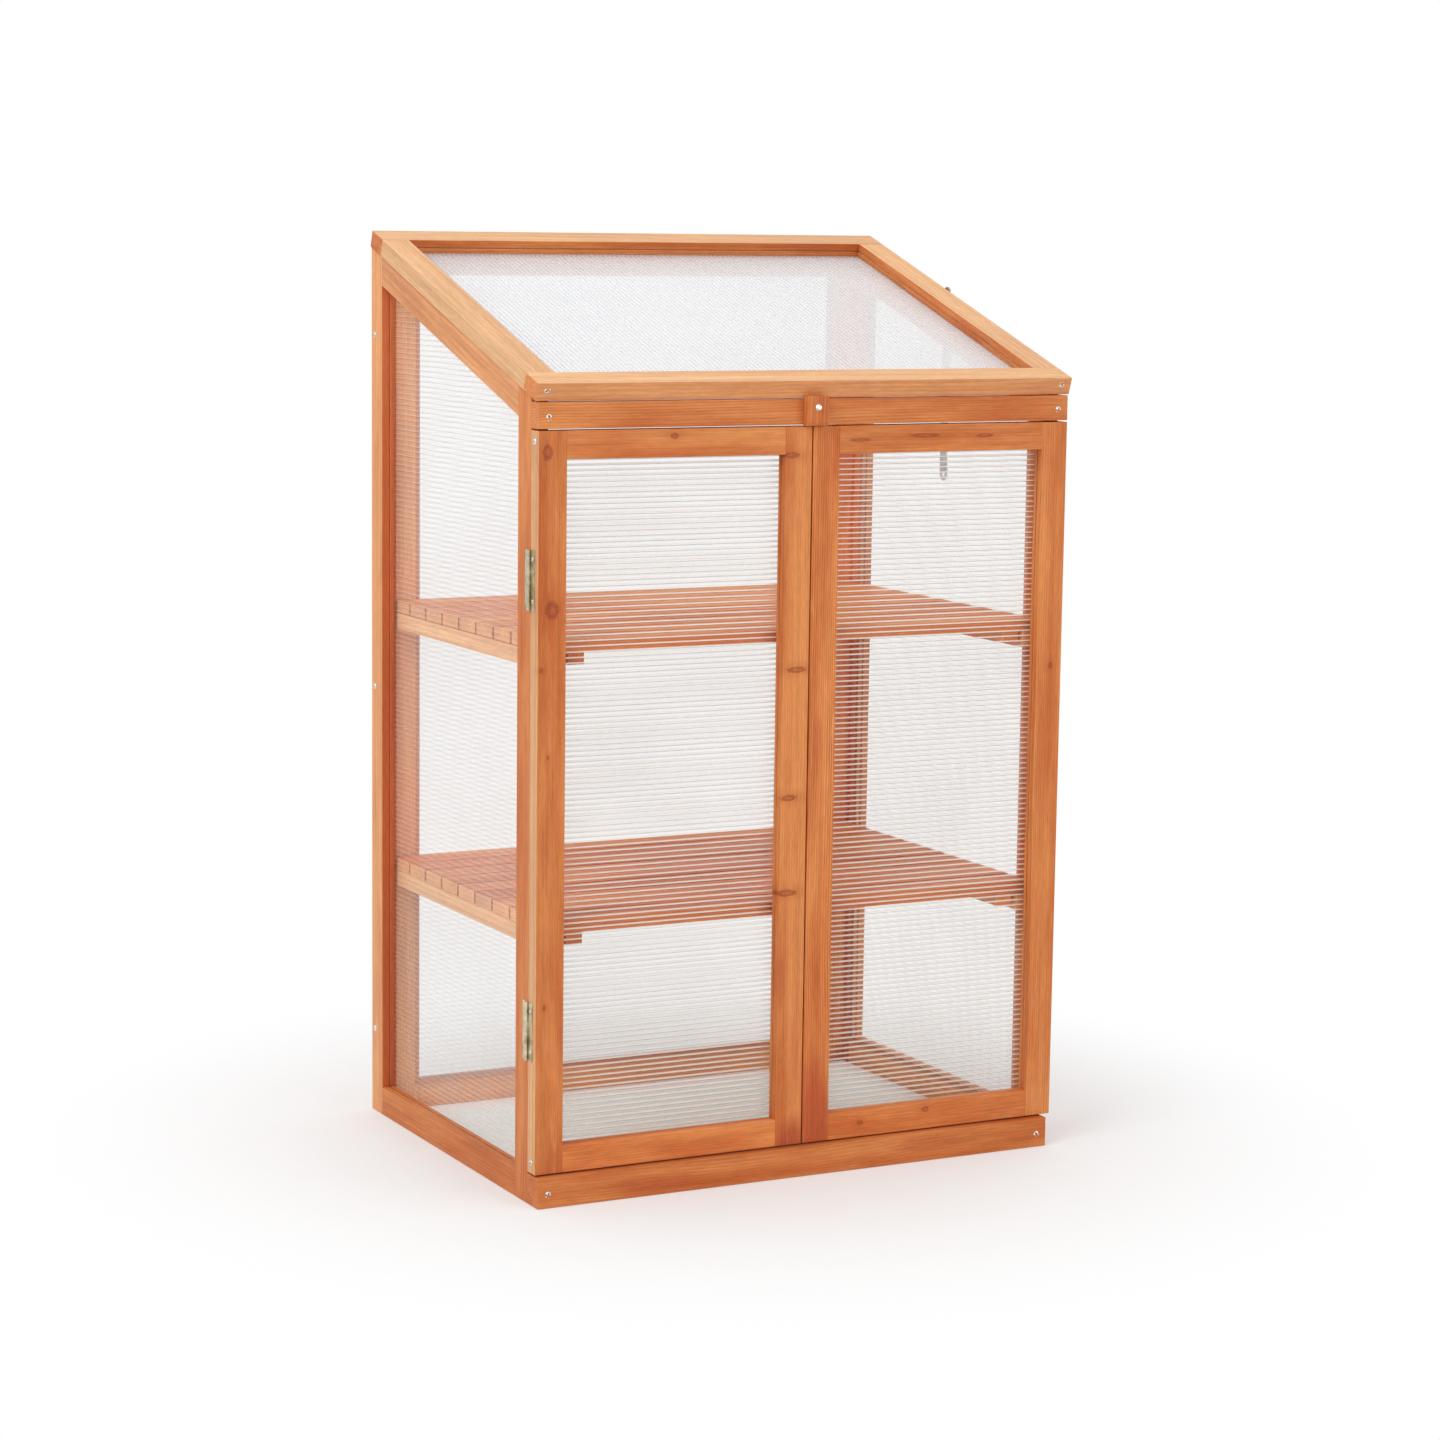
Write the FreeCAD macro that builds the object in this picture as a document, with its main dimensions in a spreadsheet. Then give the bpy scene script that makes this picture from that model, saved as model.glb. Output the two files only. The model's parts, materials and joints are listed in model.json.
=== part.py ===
import FreeCAD, Part

import math
import os
import re

import Sketcher

# Wooden mini greenhouse: two sloped side panels, a back panel, two doors, a lifting lid
# and two slatted shelves. Millimetres, +Z up, the doors look toward -Y.
# Panel coordinates: X starts at the outer face of the left side panel, Y at the front
# edges of the side panels, Z at the ground; every piece is then moved by the same shift,
# so that the origin lies under the middle of the whole object.

doc = FreeCAD.newDocument("MiniGreenhouse")

SIZES = {
    # overall
    "side_span": 700.0,          # over the outer faces of the side panels
    "side_depth": 485.0,         # front edge to rear edge of a side panel
    "front_height": 935.0,       # side panel at its front edge
    "rear_height": 1095.0,       # side panel at its rear edge
    # stock
    "member_width": 35.0,
    "member_thickness": 21.0,
    "back_rail_width": 35.0,
    "sheet_thickness": 4.0,
    "sheet_lap": 5.0,            # how far a sheet reaches under the frame
    "sheet_clearance": 0.3,
    "bead_width": 1.6,           # shadow line in the reveal
    "bead_depth": 2.4,
    "bead_offset": 9.5,          # from the outer face to the shadow line
    # front rails
    "apron_height": 30.0,
    "plinth_height": 36.0,
    "plinth_thickness": 30.0,
    "plinth_short": 10.0,        # the plinth ends short of the right side panel
    # doors
    "door_gap": 2.0,
    "door_seat": 0.3,
    "door_rail_width": 32.5,
    # lid
    "lid_side_overhang": 3.0,
    "lid_front_overhang": 18.4,
    "lid_rear_setback": 4.0,
    "lid_seat": 0.3,
    "lid_rail_width": 35.0,
    "lid_thickness": 21.0,
    # turn button
    "button_width": 27.0,
    "button_thickness": 13.0,
    "button_drop": 21.5,         # pivot to lower end
    "button_rise": 13.4,         # pivot to upper end
    "button_lift": 1.0,          # lower end above the door tops
    "button_bevel": 4.0,
    "button_gap": 0.5,
    # shelves
    "shelf_low": 330.0,          # top of the lower shelf
    "shelf_high": 656.0,         # top of the upper shelf
    "slat_thickness": 15.0,
    "slat_gap": 4.6,
    "slat_count": 9.0,
    "shelf_front": 2.0,          # front edges of the side panels to the first slat
    "shelf_back": 2.2,           # last slat to the back panel
    "shelf_end_gap": 0.5,
    "shelf_seat": 0.3,
    "cleat_width": 21.0,
    "cleat_height": 20.0,
    "batten_inset": 48.0,        # outer face of the side panel to the batten
    "batten_width": 21.0,
    "batten_height": 14.0,
    # hinges
    "door_hinge_length": 69.0,
    "door_hinge_low": 170.5,     # lower end of the lower hinge
    "door_hinge_high": 692.0,    # lower end of the upper hinge
    "hinge_leaf": 13.0,          # pin to the edge of a leaf
    "leaf_thickness": 1.0,
    "knuckle_radius": 2.5,
    "knuckle_gap": 0.3,
    "pin_radius": 1.2,
    "pin_clearance": 0.06,
    "hinge_screw_inset": 10.5,   # end of the hinge to its screw
    "lid_hinge_length": 62.0,
    "lid_hinge_inset": 95.0,     # side panel to the near end of the lid hinge
    "lid_pin_rise": 1.6,         # pin above the rear top edge
    # screws
    "screw_head_radius": 3.6,
    "screw_head_height": 1.6,
    "screw_shank_radius": 1.6,
    "screw_shank_length": 14.0,
    "small_head_radius": 2.3,
    "small_head_height": 0.9,
    "small_shank_radius": 1.1,
    "small_shank_length": 9.0,
    "screw_hole_clearance": 0.12,
    "corner_inset": 13.0,        # end of a rail to its screw
    "door_screw_inset": 12.5,    # end of a door to its edge screw
    "back_screw_low": 107.0,     # ground to the lowest screw of a rear stile
    "back_screw_top": 109.0,     # rear top corner to the highest one
    "pivot_radius": 2.0,
    "pivot_clearance": 0.08,
    "pivot_head_radius": 4.2,
    "pivot_head_height": 2.4,
    "button_screw_length": 26.0,
    # roof stay
    "stay_along": 316.0,         # front edge of the lid to the stay pivot
    "stay_drop": 6.0,            # pivot below the top face of the lid
    "stay_length": 230.0,        # pivot to the last hole
    "stay_width": 18.0,
    "stay_thickness": 2.0,
    "stay_spacer": 2.0,          # shoulder that holds the stay off the lid
    "stay_shoulder_radius": 5.0,
    "stay_bolt_length": 16.0,    # in the wood
    "stay_hole_radius": 3.3,
    "stay_hole_pitch": 45.0,
    "stay_hole_count": 3.0,
    "stay_gap": 0.3,
    "peg_back": 300.0,           # peg behind the front edge of the side panel
    "peg_head_radius": 3.0,
    "peg_head_height": 4.3,
    "peg_length": 15.0,
}

sheet = doc.addObject("Spreadsheet::Sheet", "Sizes")
for row, (alias, number) in enumerate(SIZES.items(), start=1):
    sheet.set(f"A{row}", alias)
    sheet.set(f"B{row}", str(number))
    sheet.setAlias(f"B{row}", alias)
doc.recompute()

PARTS = []

# Formulas used by several pieces.
RISE = "((rear_height - front_height) / side_depth)"
SLOPE = f"atan({RISE})"
STRETCH = f"(1 / cos({SLOPE}))"
RIGHT_INNER = "(side_span - member_thickness)"
BACK_INNER = "(side_depth - member_thickness)"
LID_LENGTH = f"((side_depth - lid_rear_setback + lid_front_overhang) * {STRETCH})"
LID_WIDTH = "(side_span + 2 * lid_side_overhang)"
LID_FRONT_Z = f"(front_height - lid_front_overhang * {RISE} + lid_seat * {STRETCH})"
APRON_TOP = f"(front_height - member_thickness * {RISE})"
APRON_BOTTOM = f"({APRON_TOP} - apron_height)"
DOOR_BOTTOM = "(plinth_height + door_gap)"
DOOR_HEIGHT = f"({APRON_BOTTOM} - 2 * door_gap - plinth_height)"
DOOR_WIDTH = "((side_span - door_gap) / 2)"
REACH_LEFT = "(2 * knuckle_radius)"
REACH_RIGHT = "(lid_side_overhang + stay_spacer + stay_thickness + 2 * stay_gap + pivot_head_height)"
REACH_FRONT = "(member_thickness + button_gap + button_thickness + pivot_head_height)"
REACH_BACK = "(2 * knuckle_radius)"
SHIFT_X = f"(0 - (side_span + {REACH_RIGHT} - {REACH_LEFT}) / 2)"
SHIFT_Y = f"(0 - (side_depth + {REACH_BACK} - {REACH_FRONT}) / 2)"


def size(alias):
    """Read one size back from the sheet."""
    return float(sheet.get(alias))


def bound(formula):
    """Point the sizes in a formula at the sheet."""
    return re.sub(r"[a-z_]{2,}", lambda word: "Sizes." + word[0] if word[0] in SIZES else word[0],
                  formula)


def place(obj, x="0", y="0", z="0", tilt=None):
    """Put a piece at panel coordinates, tilted about X where the roof slopes."""
    if tilt:
        obj.Placement = FreeCAD.Placement(FreeCAD.Vector(), FreeCAD.Rotation(FreeCAD.Vector(1, 0, 0), 15))
        obj.setExpression(".Placement.Rotation.Angle", bound(tilt))
    obj.setExpression(".Placement.Base.x", bound(f"{x} + {SHIFT_X}"))
    obj.setExpression(".Placement.Base.y", bound(f"{y} + {SHIFT_Y}"))
    obj.setExpression(".Placement.Base.z", bound(z))


def new_body(label):
    body = doc.addObject("PartDesign::Body", label)
    body.Label = label
    PARTS.append(body)
    return body


def new_sketch(body, role, offset=None):
    """Sketch on an origin plane of the body, or parallel to it at an offset."""
    sketch = body.newObject("Sketcher::SketchObject", body.Name + "_sketch")
    plane = next(item for item in body.Origin.OriginFeatures if item.Role == role)
    sketch.AttachmentSupport = [(plane, "")]
    sketch.MapMode = "FlatFace"
    if offset:
        sketch.setExpression(".AttachmentOffset.Base.z", bound(offset))
    return sketch


def pin_point(sketch, geometry, point, across, up):
    """Fix one point of a sketch by two formulas."""
    for kind, axis, formula in (("DistanceX", -2, across), ("DistanceY", -1, up)):
        if formula == "0":
            sketch.addConstraint(Sketcher.Constraint("PointOnObject", geometry, point, axis))
        else:
            index = sketch.addConstraint(Sketcher.Constraint(kind, -1, 1, geometry, point, 10.0))
            sketch.setExpression(f"Constraints[{index}]", bound(formula))


def outline(sketch, corners):
    """Closed outline through corners given as pairs of formulas."""
    count = len(corners)
    first = sketch.GeometryCount
    start = [FreeCAD.Vector(60 + 40 * math.cos(2 * math.pi * i / count),
                            60 + 40 * math.sin(2 * math.pi * i / count), 0) for i in range(count)]
    for i in range(count):
        sketch.addGeometry(Part.LineSegment(start[i], start[(i + 1) % count]), False)
    for i in range(count):
        sketch.addConstraint(Sketcher.Constraint("Coincident", first + i, 2, first + (i + 1) % count, 1))
    for i, (across, up) in enumerate(corners):
        pin_point(sketch, first + i, 1, across, up)


def circles(sketch, centres, radius):
    """Circles of one radius at centres given as pairs of formulas."""
    for i, (across, up) in enumerate(centres):
        sketch.addGeometry(Part.Circle(FreeCAD.Vector(20 + 30 * i, 20, 0), FreeCAD.Vector(0, 0, 1), 2.0), False)
        index = sketch.addConstraint(Sketcher.Constraint("Radius", i, 2.0))
        sketch.setExpression(f"Constraints[{index}]", bound(radius))
        pin_point(sketch, i, 3, across, up)


def pad(body, sketch, length, back=False):
    feature = body.newObject("PartDesign::Pad", body.Name + "_pad")
    feature.Profile = sketch
    feature.setExpression("Length", bound(length))
    feature.Reversed = back
    body.Tip = feature
    return feature


def pocket(body, sketch, depth, onward=False):
    """Cut against the sketch normal, or along it when onward is set."""
    feature = body.newObject("PartDesign::Pocket", body.Name + "_pocket")
    feature.Profile = sketch
    feature.setExpression("Length", bound(depth))
    feature.Reversed = onward
    body.Tip = feature
    return feature


def around(centre, radius, sides):
    """Corners of a regular polygon that touches a circle from outside."""
    reach = 1 / math.cos(math.pi / sides)
    turns = [2 * math.pi * (i + 0.5) / sides for i in range(sides)]
    return [(f"{centre[0]} + {reach * math.cos(turn):.5f} * ({radius})",
             f"{centre[1]} + {reach * math.sin(turn):.5f} * ({radius})") for turn in turns]


def drill(body, role, centres, depth, radius, offset=None, onward=False, sides=6):
    """Holes: six-sided pilot holes for screws, or round ones (sides 0) that a shank turns in."""
    sketch = new_sketch(body, role, offset)
    if sides:
        for centre in centres:
            outline(sketch, around(centre, radius, sides))
    else:
        circles(sketch, centres, radius)
    pocket(body, sketch, depth, onward)


# A framed panel: rebated members with a shadow line in the reveal, and the sheet that
# lies in the rebate, flush with the inner face.

def offset_box(left, low, right, high, grow):
    """Rectangle grown by a formula."""
    return [(f"{left} - {grow}", f"{low} - {grow}"), (f"{right} + {grow}", f"{low} - {grow}"),
            (f"{right} + {grow}", f"{high} + {grow}"), (f"{left} - {grow}", f"{high} + {grow}")]


def offset_side(grow):
    """Opening of a side panel grown by a formula: its top edge follows the roof."""
    left = f"member_width - {grow}"
    right = f"side_depth - member_width + {grow}"
    top = f"front_height - (member_width - {grow}) * {STRETCH}"
    return [(left, f"member_width - {grow}"), (right, f"member_width - {grow}"),
            (right, f"{top} + ({right}) * {RISE}"), (left, f"{top} + ({left}) * {RISE}")]


def framed_member(label, role, corners, grown, inner_far, at, tilt=None, thick="member_thickness"):
    """One stile or rail: outline, rebate for the sheet on the inner face, shadow line."""
    body = new_body(label)
    sketch = new_sketch(body, role)
    outline(sketch, corners)
    pad(body, sketch, thick)
    rebate = new_sketch(body, role, thick if inner_far else None)
    outline(rebate, grown("sheet_lap"))
    pocket(body, rebate, "sheet_thickness + sheet_clearance", onward=not inner_far)
    line_at = "bead_offset + bead_width" if inner_far else f"{thick} - bead_offset - bead_width"
    bead = new_sketch(body, role, line_at)
    outline(bead, grown("bead_depth"))
    pocket(body, bead, "bead_width", onward=not inner_far)
    place(body, *at, tilt=tilt)
    return body


def framed_sheet(label, role, grown, inner_far, at, tilt=None, thick="member_thickness"):
    """The twin-wall sheet of a panel, against the floor of the rebate."""
    body = new_body(label)
    floor = f"{thick} - sheet_thickness - sheet_clearance" if inner_far else "sheet_clearance"
    sketch = new_sketch(body, role, floor)
    outline(sketch, grown("(sheet_lap - sheet_clearance)"))
    pad(body, sketch, "sheet_thickness")
    place(body, *at, tilt=tilt)
    return body


# Side panels.

def side_panel(side, inner_far, x):
    at = (x, "0", "0")
    depth = "side_depth"
    inner = "(side_depth - member_width)"
    rail = f"member_width * {STRETCH}"
    top_front = f"front_height + member_width * {RISE}"
    top_rear = f"rear_height - member_width * {RISE}"
    pieces = {
        "front_stile": [("0", "0"), ("member_width", "0"), ("member_width", top_front),
                        ("0", "front_height")],
        "rear_stile": [(inner, "0"), (depth, "0"), (depth, "rear_height"), (inner, top_rear)],
        "bottom_rail": [("member_width", "0"), (inner, "0"), (inner, "member_width"),
                        ("member_width", "member_width")],
        "top_rail": [("member_width", f"{top_front} - {rail}"), (inner, f"{top_rear} - {rail}"),
                     (inner, top_rear), ("member_width", top_front)],
    }
    made = {name: framed_member(f"{side}_side_{name}", "YZ_Plane", corners, offset_side, inner_far, at)
            for name, corners in pieces.items()}
    framed_sheet(f"{side}_side_sheet", "YZ_Plane", offset_side, inner_far, at)
    return made


left_side = side_panel("left", True, "0")
right_side = side_panel("right", False, RIGHT_INNER)

# Back panel, between the side panels; its top rail is bevelled to the slope of the lid.
BACK_LEFT = "member_thickness"
BACK_RIGHT = RIGHT_INNER
BACK_AT = ("0", "side_depth", "0")
BACK_RAIL_LOW = "(rear_height - back_rail_width)"


def back_opening(grow):
    return offset_box(f"{BACK_LEFT} + member_width", "member_width", f"{BACK_RIGHT} - member_width",
                      BACK_RAIL_LOW, grow)


back_pieces = {
    "back_left_stile": (BACK_LEFT, "0", f"{BACK_LEFT} + member_width", BACK_RAIL_LOW),
    "back_right_stile": (f"{BACK_RIGHT} - member_width", "0", BACK_RIGHT, BACK_RAIL_LOW),
    "back_bottom_rail": (f"{BACK_LEFT} + member_width", "0", f"{BACK_RIGHT} - member_width",
                         "member_width"),
    "back_top_rail": (BACK_LEFT, BACK_RAIL_LOW, BACK_RIGHT, "rear_height"),
}
back = {}
for name, (x0, z0, x1, z1) in back_pieces.items():
    corners = [(x0, z0), (x1, z0), (x1, z1), (x0, z1)]
    back[name] = framed_member(name, "XZ_Plane", corners, back_opening, True, BACK_AT)
framed_sheet("back_sheet", "XZ_Plane", back_opening, True, BACK_AT)
bevel = new_sketch(back["back_top_rail"], "YZ_Plane")
outline(bevel, [("0", "rear_height"), ("0", "rear_height + member_width"),
                ("0 - 2 * member_thickness", "rear_height + member_width"),
                ("0 - 2 * member_thickness", f"rear_height - 2 * member_thickness * {RISE}")])
pocket(back["back_top_rail"], bevel, "side_span", onward=True)

# Front rails: the apron under the lid and the thicker plinth under the doors.
apron = new_body("front_top_rail")
apron_sketch = new_sketch(apron, "YZ_Plane")
outline(apron_sketch, [("0", "0"), ("member_thickness", "0"), ("member_thickness", "apron_height"),
                       ("0", "apron_height")])
pad(apron, apron_sketch, "side_span")
place(apron, "0", "0 - member_thickness", APRON_BOTTOM)

plinth = new_body("front_bottom_rail")
plinth_sketch = new_sketch(plinth, "YZ_Plane")
outline(plinth_sketch, [("0", "0"), ("plinth_thickness", "0"), ("plinth_thickness", "plinth_height"),
                        ("0", "plinth_height")])
pad(plinth, plinth_sketch, "side_span - plinth_short")
place(plinth, "0", "0 - plinth_thickness", "0")


# Doors: stiles run the full height, rails fit between them.

def door(side, x):
    at = (x, "0 - door_seat", DOOR_BOTTOM)
    inner = f"({DOOR_WIDTH} - member_width)"
    low = "door_rail_width"
    high = f"({DOOR_HEIGHT} - door_rail_width)"

    def opening(grow):
        return offset_box("member_width", low, inner, high, grow)

    names = ("hinge_stile", "meeting_stile") if side == "left" else ("meeting_stile", "hinge_stile")
    pieces = {
        names[0]: ("0", "0", "member_width", DOOR_HEIGHT),
        names[1]: (inner, "0", DOOR_WIDTH, DOOR_HEIGHT),
        "bottom_rail": ("member_width", "0", inner, low),
        "top_rail": ("member_width", high, inner, DOOR_HEIGHT),
    }
    made = {}
    for name, (x0, z0, x1, z1) in pieces.items():
        corners = [(x0, z0), (x1, z0), (x1, z1), (x0, z1)]
        made[name] = framed_member(f"{side}_door_{name}", "XZ_Plane", corners, opening, False, at)
    framed_sheet(f"{side}_door_sheet", "XZ_Plane", opening, False, at)
    return made


left_door = door("left", "0")
right_door = door("right", f"side_span - {DOOR_WIDTH}")

# Lid: front and back rails run the full width, side rails fit between them. It lies in
# its own tilted plane; its underside rests on the side panels.
LID_AT = ("0 - lid_side_overhang", "0 - lid_front_overhang", LID_FRONT_Z)
LID_INNER_X = f"({LID_WIDTH} - lid_rail_width)"
LID_INNER_Y = f"({LID_LENGTH} - lid_rail_width)"


def lid_opening(grow):
    return offset_box("lid_rail_width", "lid_rail_width", LID_INNER_X, LID_INNER_Y, grow)


lid_pieces = {
    "lid_front_rail": ("0", "0", LID_WIDTH, "lid_rail_width"),
    "lid_back_rail": ("0", LID_INNER_Y, LID_WIDTH, LID_LENGTH),
    "lid_left_rail": ("0", "lid_rail_width", "lid_rail_width", LID_INNER_Y),
    "lid_right_rail": (LID_INNER_X, "lid_rail_width", LID_WIDTH, LID_INNER_Y),
}
lid = {}
for name, (x0, y0, x1, y1) in lid_pieces.items():
    corners = [(x0, y0), (x1, y0), (x1, y1), (x0, y1)]
    lid[name] = framed_member(name, "XY_Plane", corners, lid_opening, False, LID_AT, SLOPE,
                              "lid_thickness")
framed_sheet("lid_sheet", "XY_Plane", lid_opening, False, LID_AT, SLOPE, "lid_thickness")


# Shelves: slats nailed on two battens; the slat ends lie on cleats of the side panels.

def group(label, members):
    """Several separate solids kept as one sub-part."""
    compound = doc.addObject("Part::Compound", label)
    compound.Label = label
    compound.Links = members
    PARTS.append(compound)
    return compound


def block(name, at, extent):
    """A plain sawn board."""
    board = doc.addObject("Part::Box", name)
    for prop, formula in zip(("Length", "Width", "Height"), extent):
        board.setExpression(prop, bound(formula))
    place(board, *at)
    return board


SHELF_DEPTH = f"({BACK_INNER} - shelf_front - shelf_back)"
SLAT_PITCH = f"(({SHELF_DEPTH} + slat_gap) / floor(slat_count))"
for level in ("low", "high"):
    name = "lower_shelf" if level == "low" else "upper_shelf"
    under = f"(shelf_{level} - slat_thickness)"
    slats = [block(f"{name}_slat_{i + 1}",
                   ("member_thickness + shelf_end_gap", f"shelf_front + {i} * {SLAT_PITCH}", under),
                   (f"{RIGHT_INNER} - member_thickness - 2 * shelf_end_gap",
                    f"{SLAT_PITCH} - slat_gap", "slat_thickness"))
             for i in range(int(size("slat_count")))]
    group(f"{name}_slats", slats)
    group(f"{name}_battens",
          [block(f"{name}_batten_{side}", (x, "shelf_front", f"{under} - batten_height"),
                 ("batten_width", SHELF_DEPTH, "batten_height"))
           for side, x in (("left", "batten_inset"),
                           ("right", "side_span - batten_inset - batten_width"))])

group("shelf_cleats",
      [block(f"cleat_{level}_{side}",
             (x, "0", f"shelf_{level} - slat_thickness - shelf_seat - cleat_height"),
             ("cleat_width", BACK_INNER, "cleat_height"))
       for level in ("low", "high")
       for side, x in (("left", "member_thickness"),
                       ("right", f"{RIGHT_INNER} - cleat_width"))])

# Turn button: a bevelled block on the apron, pivoting on one screw.
PIVOT_X = "(side_span / 2)"
PIVOT_Z = f"({APRON_BOTTOM} - door_gap + button_lift + button_drop)"
button = new_body("turn_button")
button_sketch = new_sketch(button, "YZ_Plane")
outline(button_sketch, [("0", "0"), ("button_thickness - button_bevel / 2", "0"),
                        ("button_thickness", "button_bevel"),
                        ("button_thickness", "button_drop + button_rise"),
                        ("0", "button_drop + button_rise")])
pad(button, button_sketch, "button_width")
drill(button, "XZ_Plane", [("button_width / 2", "button_drop")], "button_thickness",
      "pivot_radius + pivot_clearance", sides=0)


def turned(obj, angle):
    """Fixed quarter or half turn about Z, kept with the bound position."""
    obj.Placement = FreeCAD.Placement(FreeCAD.Vector(), FreeCAD.Rotation(FreeCAD.Vector(0, 0, 1), angle))


turned(button, 180)
place(button, f"{PIVOT_X} + button_width / 2", "0 - member_thickness - button_gap",
      f"{PIVOT_Z} - button_drop")


# Hinges. A leaf is a plate with its knuckles: the frame leaf has the outer knuckles, the
# moving leaf the middle one. Local Z runs along the pin, local +X from the pin to the
# leaf's free edge, and the plate lies against local Y = knuckle radius.

KNUCKLE = "((%s - 2 * knuckle_gap) / 3)"


def leaf(name, length, outer, flip=False):
    """One leaf as a body: plate, knuckles, bore and two screw holes."""
    body = doc.addObject("PartDesign::Body", name)
    tab = KNUCKLE % length
    low = f"{tab} + knuckle_gap"
    high = f"2 * {tab} + knuckle_gap"
    clear = "knuckle_radius + knuckle_gap"
    if outer:
        corners = [("0", "0"), ("hinge_leaf", "0"), ("hinge_leaf", length), ("0", length),
                   ("0", f"{high} + knuckle_gap"), (clear, f"{high} + knuckle_gap"),
                   (clear, tab), ("0", tab)]
    else:
        corners = [(clear, "0"), ("hinge_leaf", "0"), ("hinge_leaf", length), (clear, length),
                   (clear, high), ("0", high), ("0", low), (clear, low)]
    if flip:
        corners = [("0" if across == "0" else f"0 - ({across})", up) for across, up in corners]
    plate = new_sketch(body, "XZ_Plane", "knuckle_radius - leaf_thickness")
    outline(plate, corners)
    pad(body, plate, "leaf_thickness")
    spans = [(None, tab), (f"{high} + knuckle_gap", tab)] if outer else [(low, tab)]
    for start, span in spans:
        knuckle = new_sketch(body, "XY_Plane", start)
        circles(knuckle, [("0", "0")], "knuckle_radius")
        pad(body, knuckle, span)
    bore = new_sketch(body, "XY_Plane", None)
    circles(bore, [("0", "0")], "pin_radius + pin_clearance")
    pocket(body, bore, length, onward=True)
    across = "(hinge_leaf + knuckle_radius) / 2"
    across = f"0 - {across}" if flip else across
    drill(body, "XZ_Plane", [(across, "hinge_screw_inset"), (across, f"{length} - hinge_screw_inset")],
          "2 * knuckle_radius", "small_shank_radius + screw_hole_clearance", "knuckle_radius + 1")
    return body


def hinge_pin(name, length):
    """Plain pin as long as its hinge."""
    body = doc.addObject("PartDesign::Body", name)
    shank = new_sketch(body, "XY_Plane")
    circles(shank, [("0", "0")], "pin_radius")
    pad(body, shank, length)
    return body


def plug(sides, low_radius, high_radius, low, high):
    """Regular prism or tapering plug along Z."""
    turns = [2 * math.pi * i / sides for i in range(sides)]
    rings = [[FreeCAD.Vector(radius * math.cos(turn), radius * math.sin(turn), height) for turn in turns]
             for radius, height in ((low_radius, low), (high_radius, high))]
    faces = [Part.Face(Part.makePolygon(ring + ring[:1])) for ring in rings]
    for i in range(sides):
        j = (i + 1) % sides
        side = [rings[0][i], rings[0][j], rings[1][j], rings[1][i]]
        faces.append(Part.Face(Part.makePolygon(side + side[:1])))
    solid = Part.makeSolid(Part.makeShell(faces))
    if solid.Volume < 0:
        solid.reverse()
    return solid


def screw_shape(kind, direction):
    """A screw whose head stands on the origin and points in a direction."""
    if kind == "small":
        head, height = size("small_head_radius"), size("small_head_height")
        shank, length = size("small_shank_radius"), size("small_shank_length")
        solid = plug(8, head, 0.62 * head, 0, height)
    else:
        head, height = size("screw_head_radius"), size("screw_head_height")
        shank, length = size("screw_shank_radius"), size("screw_shank_length")
        solid = plug(12, head, 0.62 * head, 0, height)
        for angle in (0, 90):
            slot = Part.makeBox(head, 0.22 * head, height,
                                FreeCAD.Vector(-head / 2, -0.11 * head, 0.45 * height))
            slot.rotate(FreeCAD.Vector(), FreeCAD.Vector(0, 0, 1), angle)
            solid = solid.cut(slot)
    solid = solid.fuse(plug(6, shank, shank, -length, 0)).removeSplitter()
    return aimed(solid, direction)


def aimed(solid, direction):
    """Turn a shape made along +Z to a direction."""
    turn = FreeCAD.Rotation(FreeCAD.Vector(0, 0, 1), FreeCAD.Vector(*direction))
    return solid.transformed(FreeCAD.Placement(FreeCAD.Vector(), turn).toMatrix(), True)


def fitting(name, shape, at, tilt=None):
    """A small turned piece at panel coordinates."""
    piece = doc.addObject("Part::Feature", name)
    piece.Shape = shape
    place(piece, *at, tilt=tilt)
    return piece


def screws(label, kind, direction_points, tilt=None):
    """Group of screws, each given by its direction and the point under its head."""
    return group(label, [fitting(f"{label}_{i + 1}", screw_shape(kind, direction), at, tilt)
                         for i, (direction, at) in enumerate(direction_points)])


SHANK = "screw_shank_radius + screw_hole_clearance"
SMALL_SHANK = "small_shank_radius + screw_hole_clearance"
LEFT, RIGHT, FRONT, REAR = (-1, 0, 0), (1, 0, 0), (0, -1, 0), (0, 1, 0)

# Door hinges, two a side, on the outer corner between side panel and door.
HINGE_Y = "(0 - door_seat / 2)"
LEAF_MID = "((hinge_leaf + knuckle_radius) / 2)"
HINGE_LOWS = ("door_hinge_low", "door_hinge_high")
HINGE_SCREWS = [f"{low} + {inset}" for low in HINGE_LOWS
                for inset in ("hinge_screw_inset", "door_hinge_length - hinge_screw_inset")]
pins = []
for side, face, pin_x, angle, out in (("left", "0", "0 - knuckle_radius", 90, LEFT),
                                      ("right", "side_span", "side_span + knuckle_radius", -90, RIGHT)):
    for owner, outer in (("frame", True), ("door", False)):
        leaves = []
        for i, low in enumerate(HINGE_LOWS):
            flip = (side == "left") != outer
            made = leaf(f"{side}_{owner}_leaf_{i + 1}", "door_hinge_length", outer, flip)
            turned(made, angle)
            place(made, pin_x, HINGE_Y, low)
            leaves.append(made)
        group(f"{side}_hinge_{owner}_leaves", leaves)
        way = "+" if outer else "-"
        proud = "0 - leaf_thickness" if side == "left" else "side_span + leaf_thickness"
        screws(f"{side}_hinge_{owner}_screws", "small",
               [(out, (proud, f"{HINGE_Y} {way} {LEAF_MID}", height)) for height in HINGE_SCREWS])
    for i, low in enumerate(HINGE_LOWS):
        pin = hinge_pin(f"{side}_hinge_pin_{i + 1}", "door_hinge_length")
        place(pin, pin_x, HINGE_Y, low)
        pins.append(pin)
group("door_hinge_pins", pins)

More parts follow.
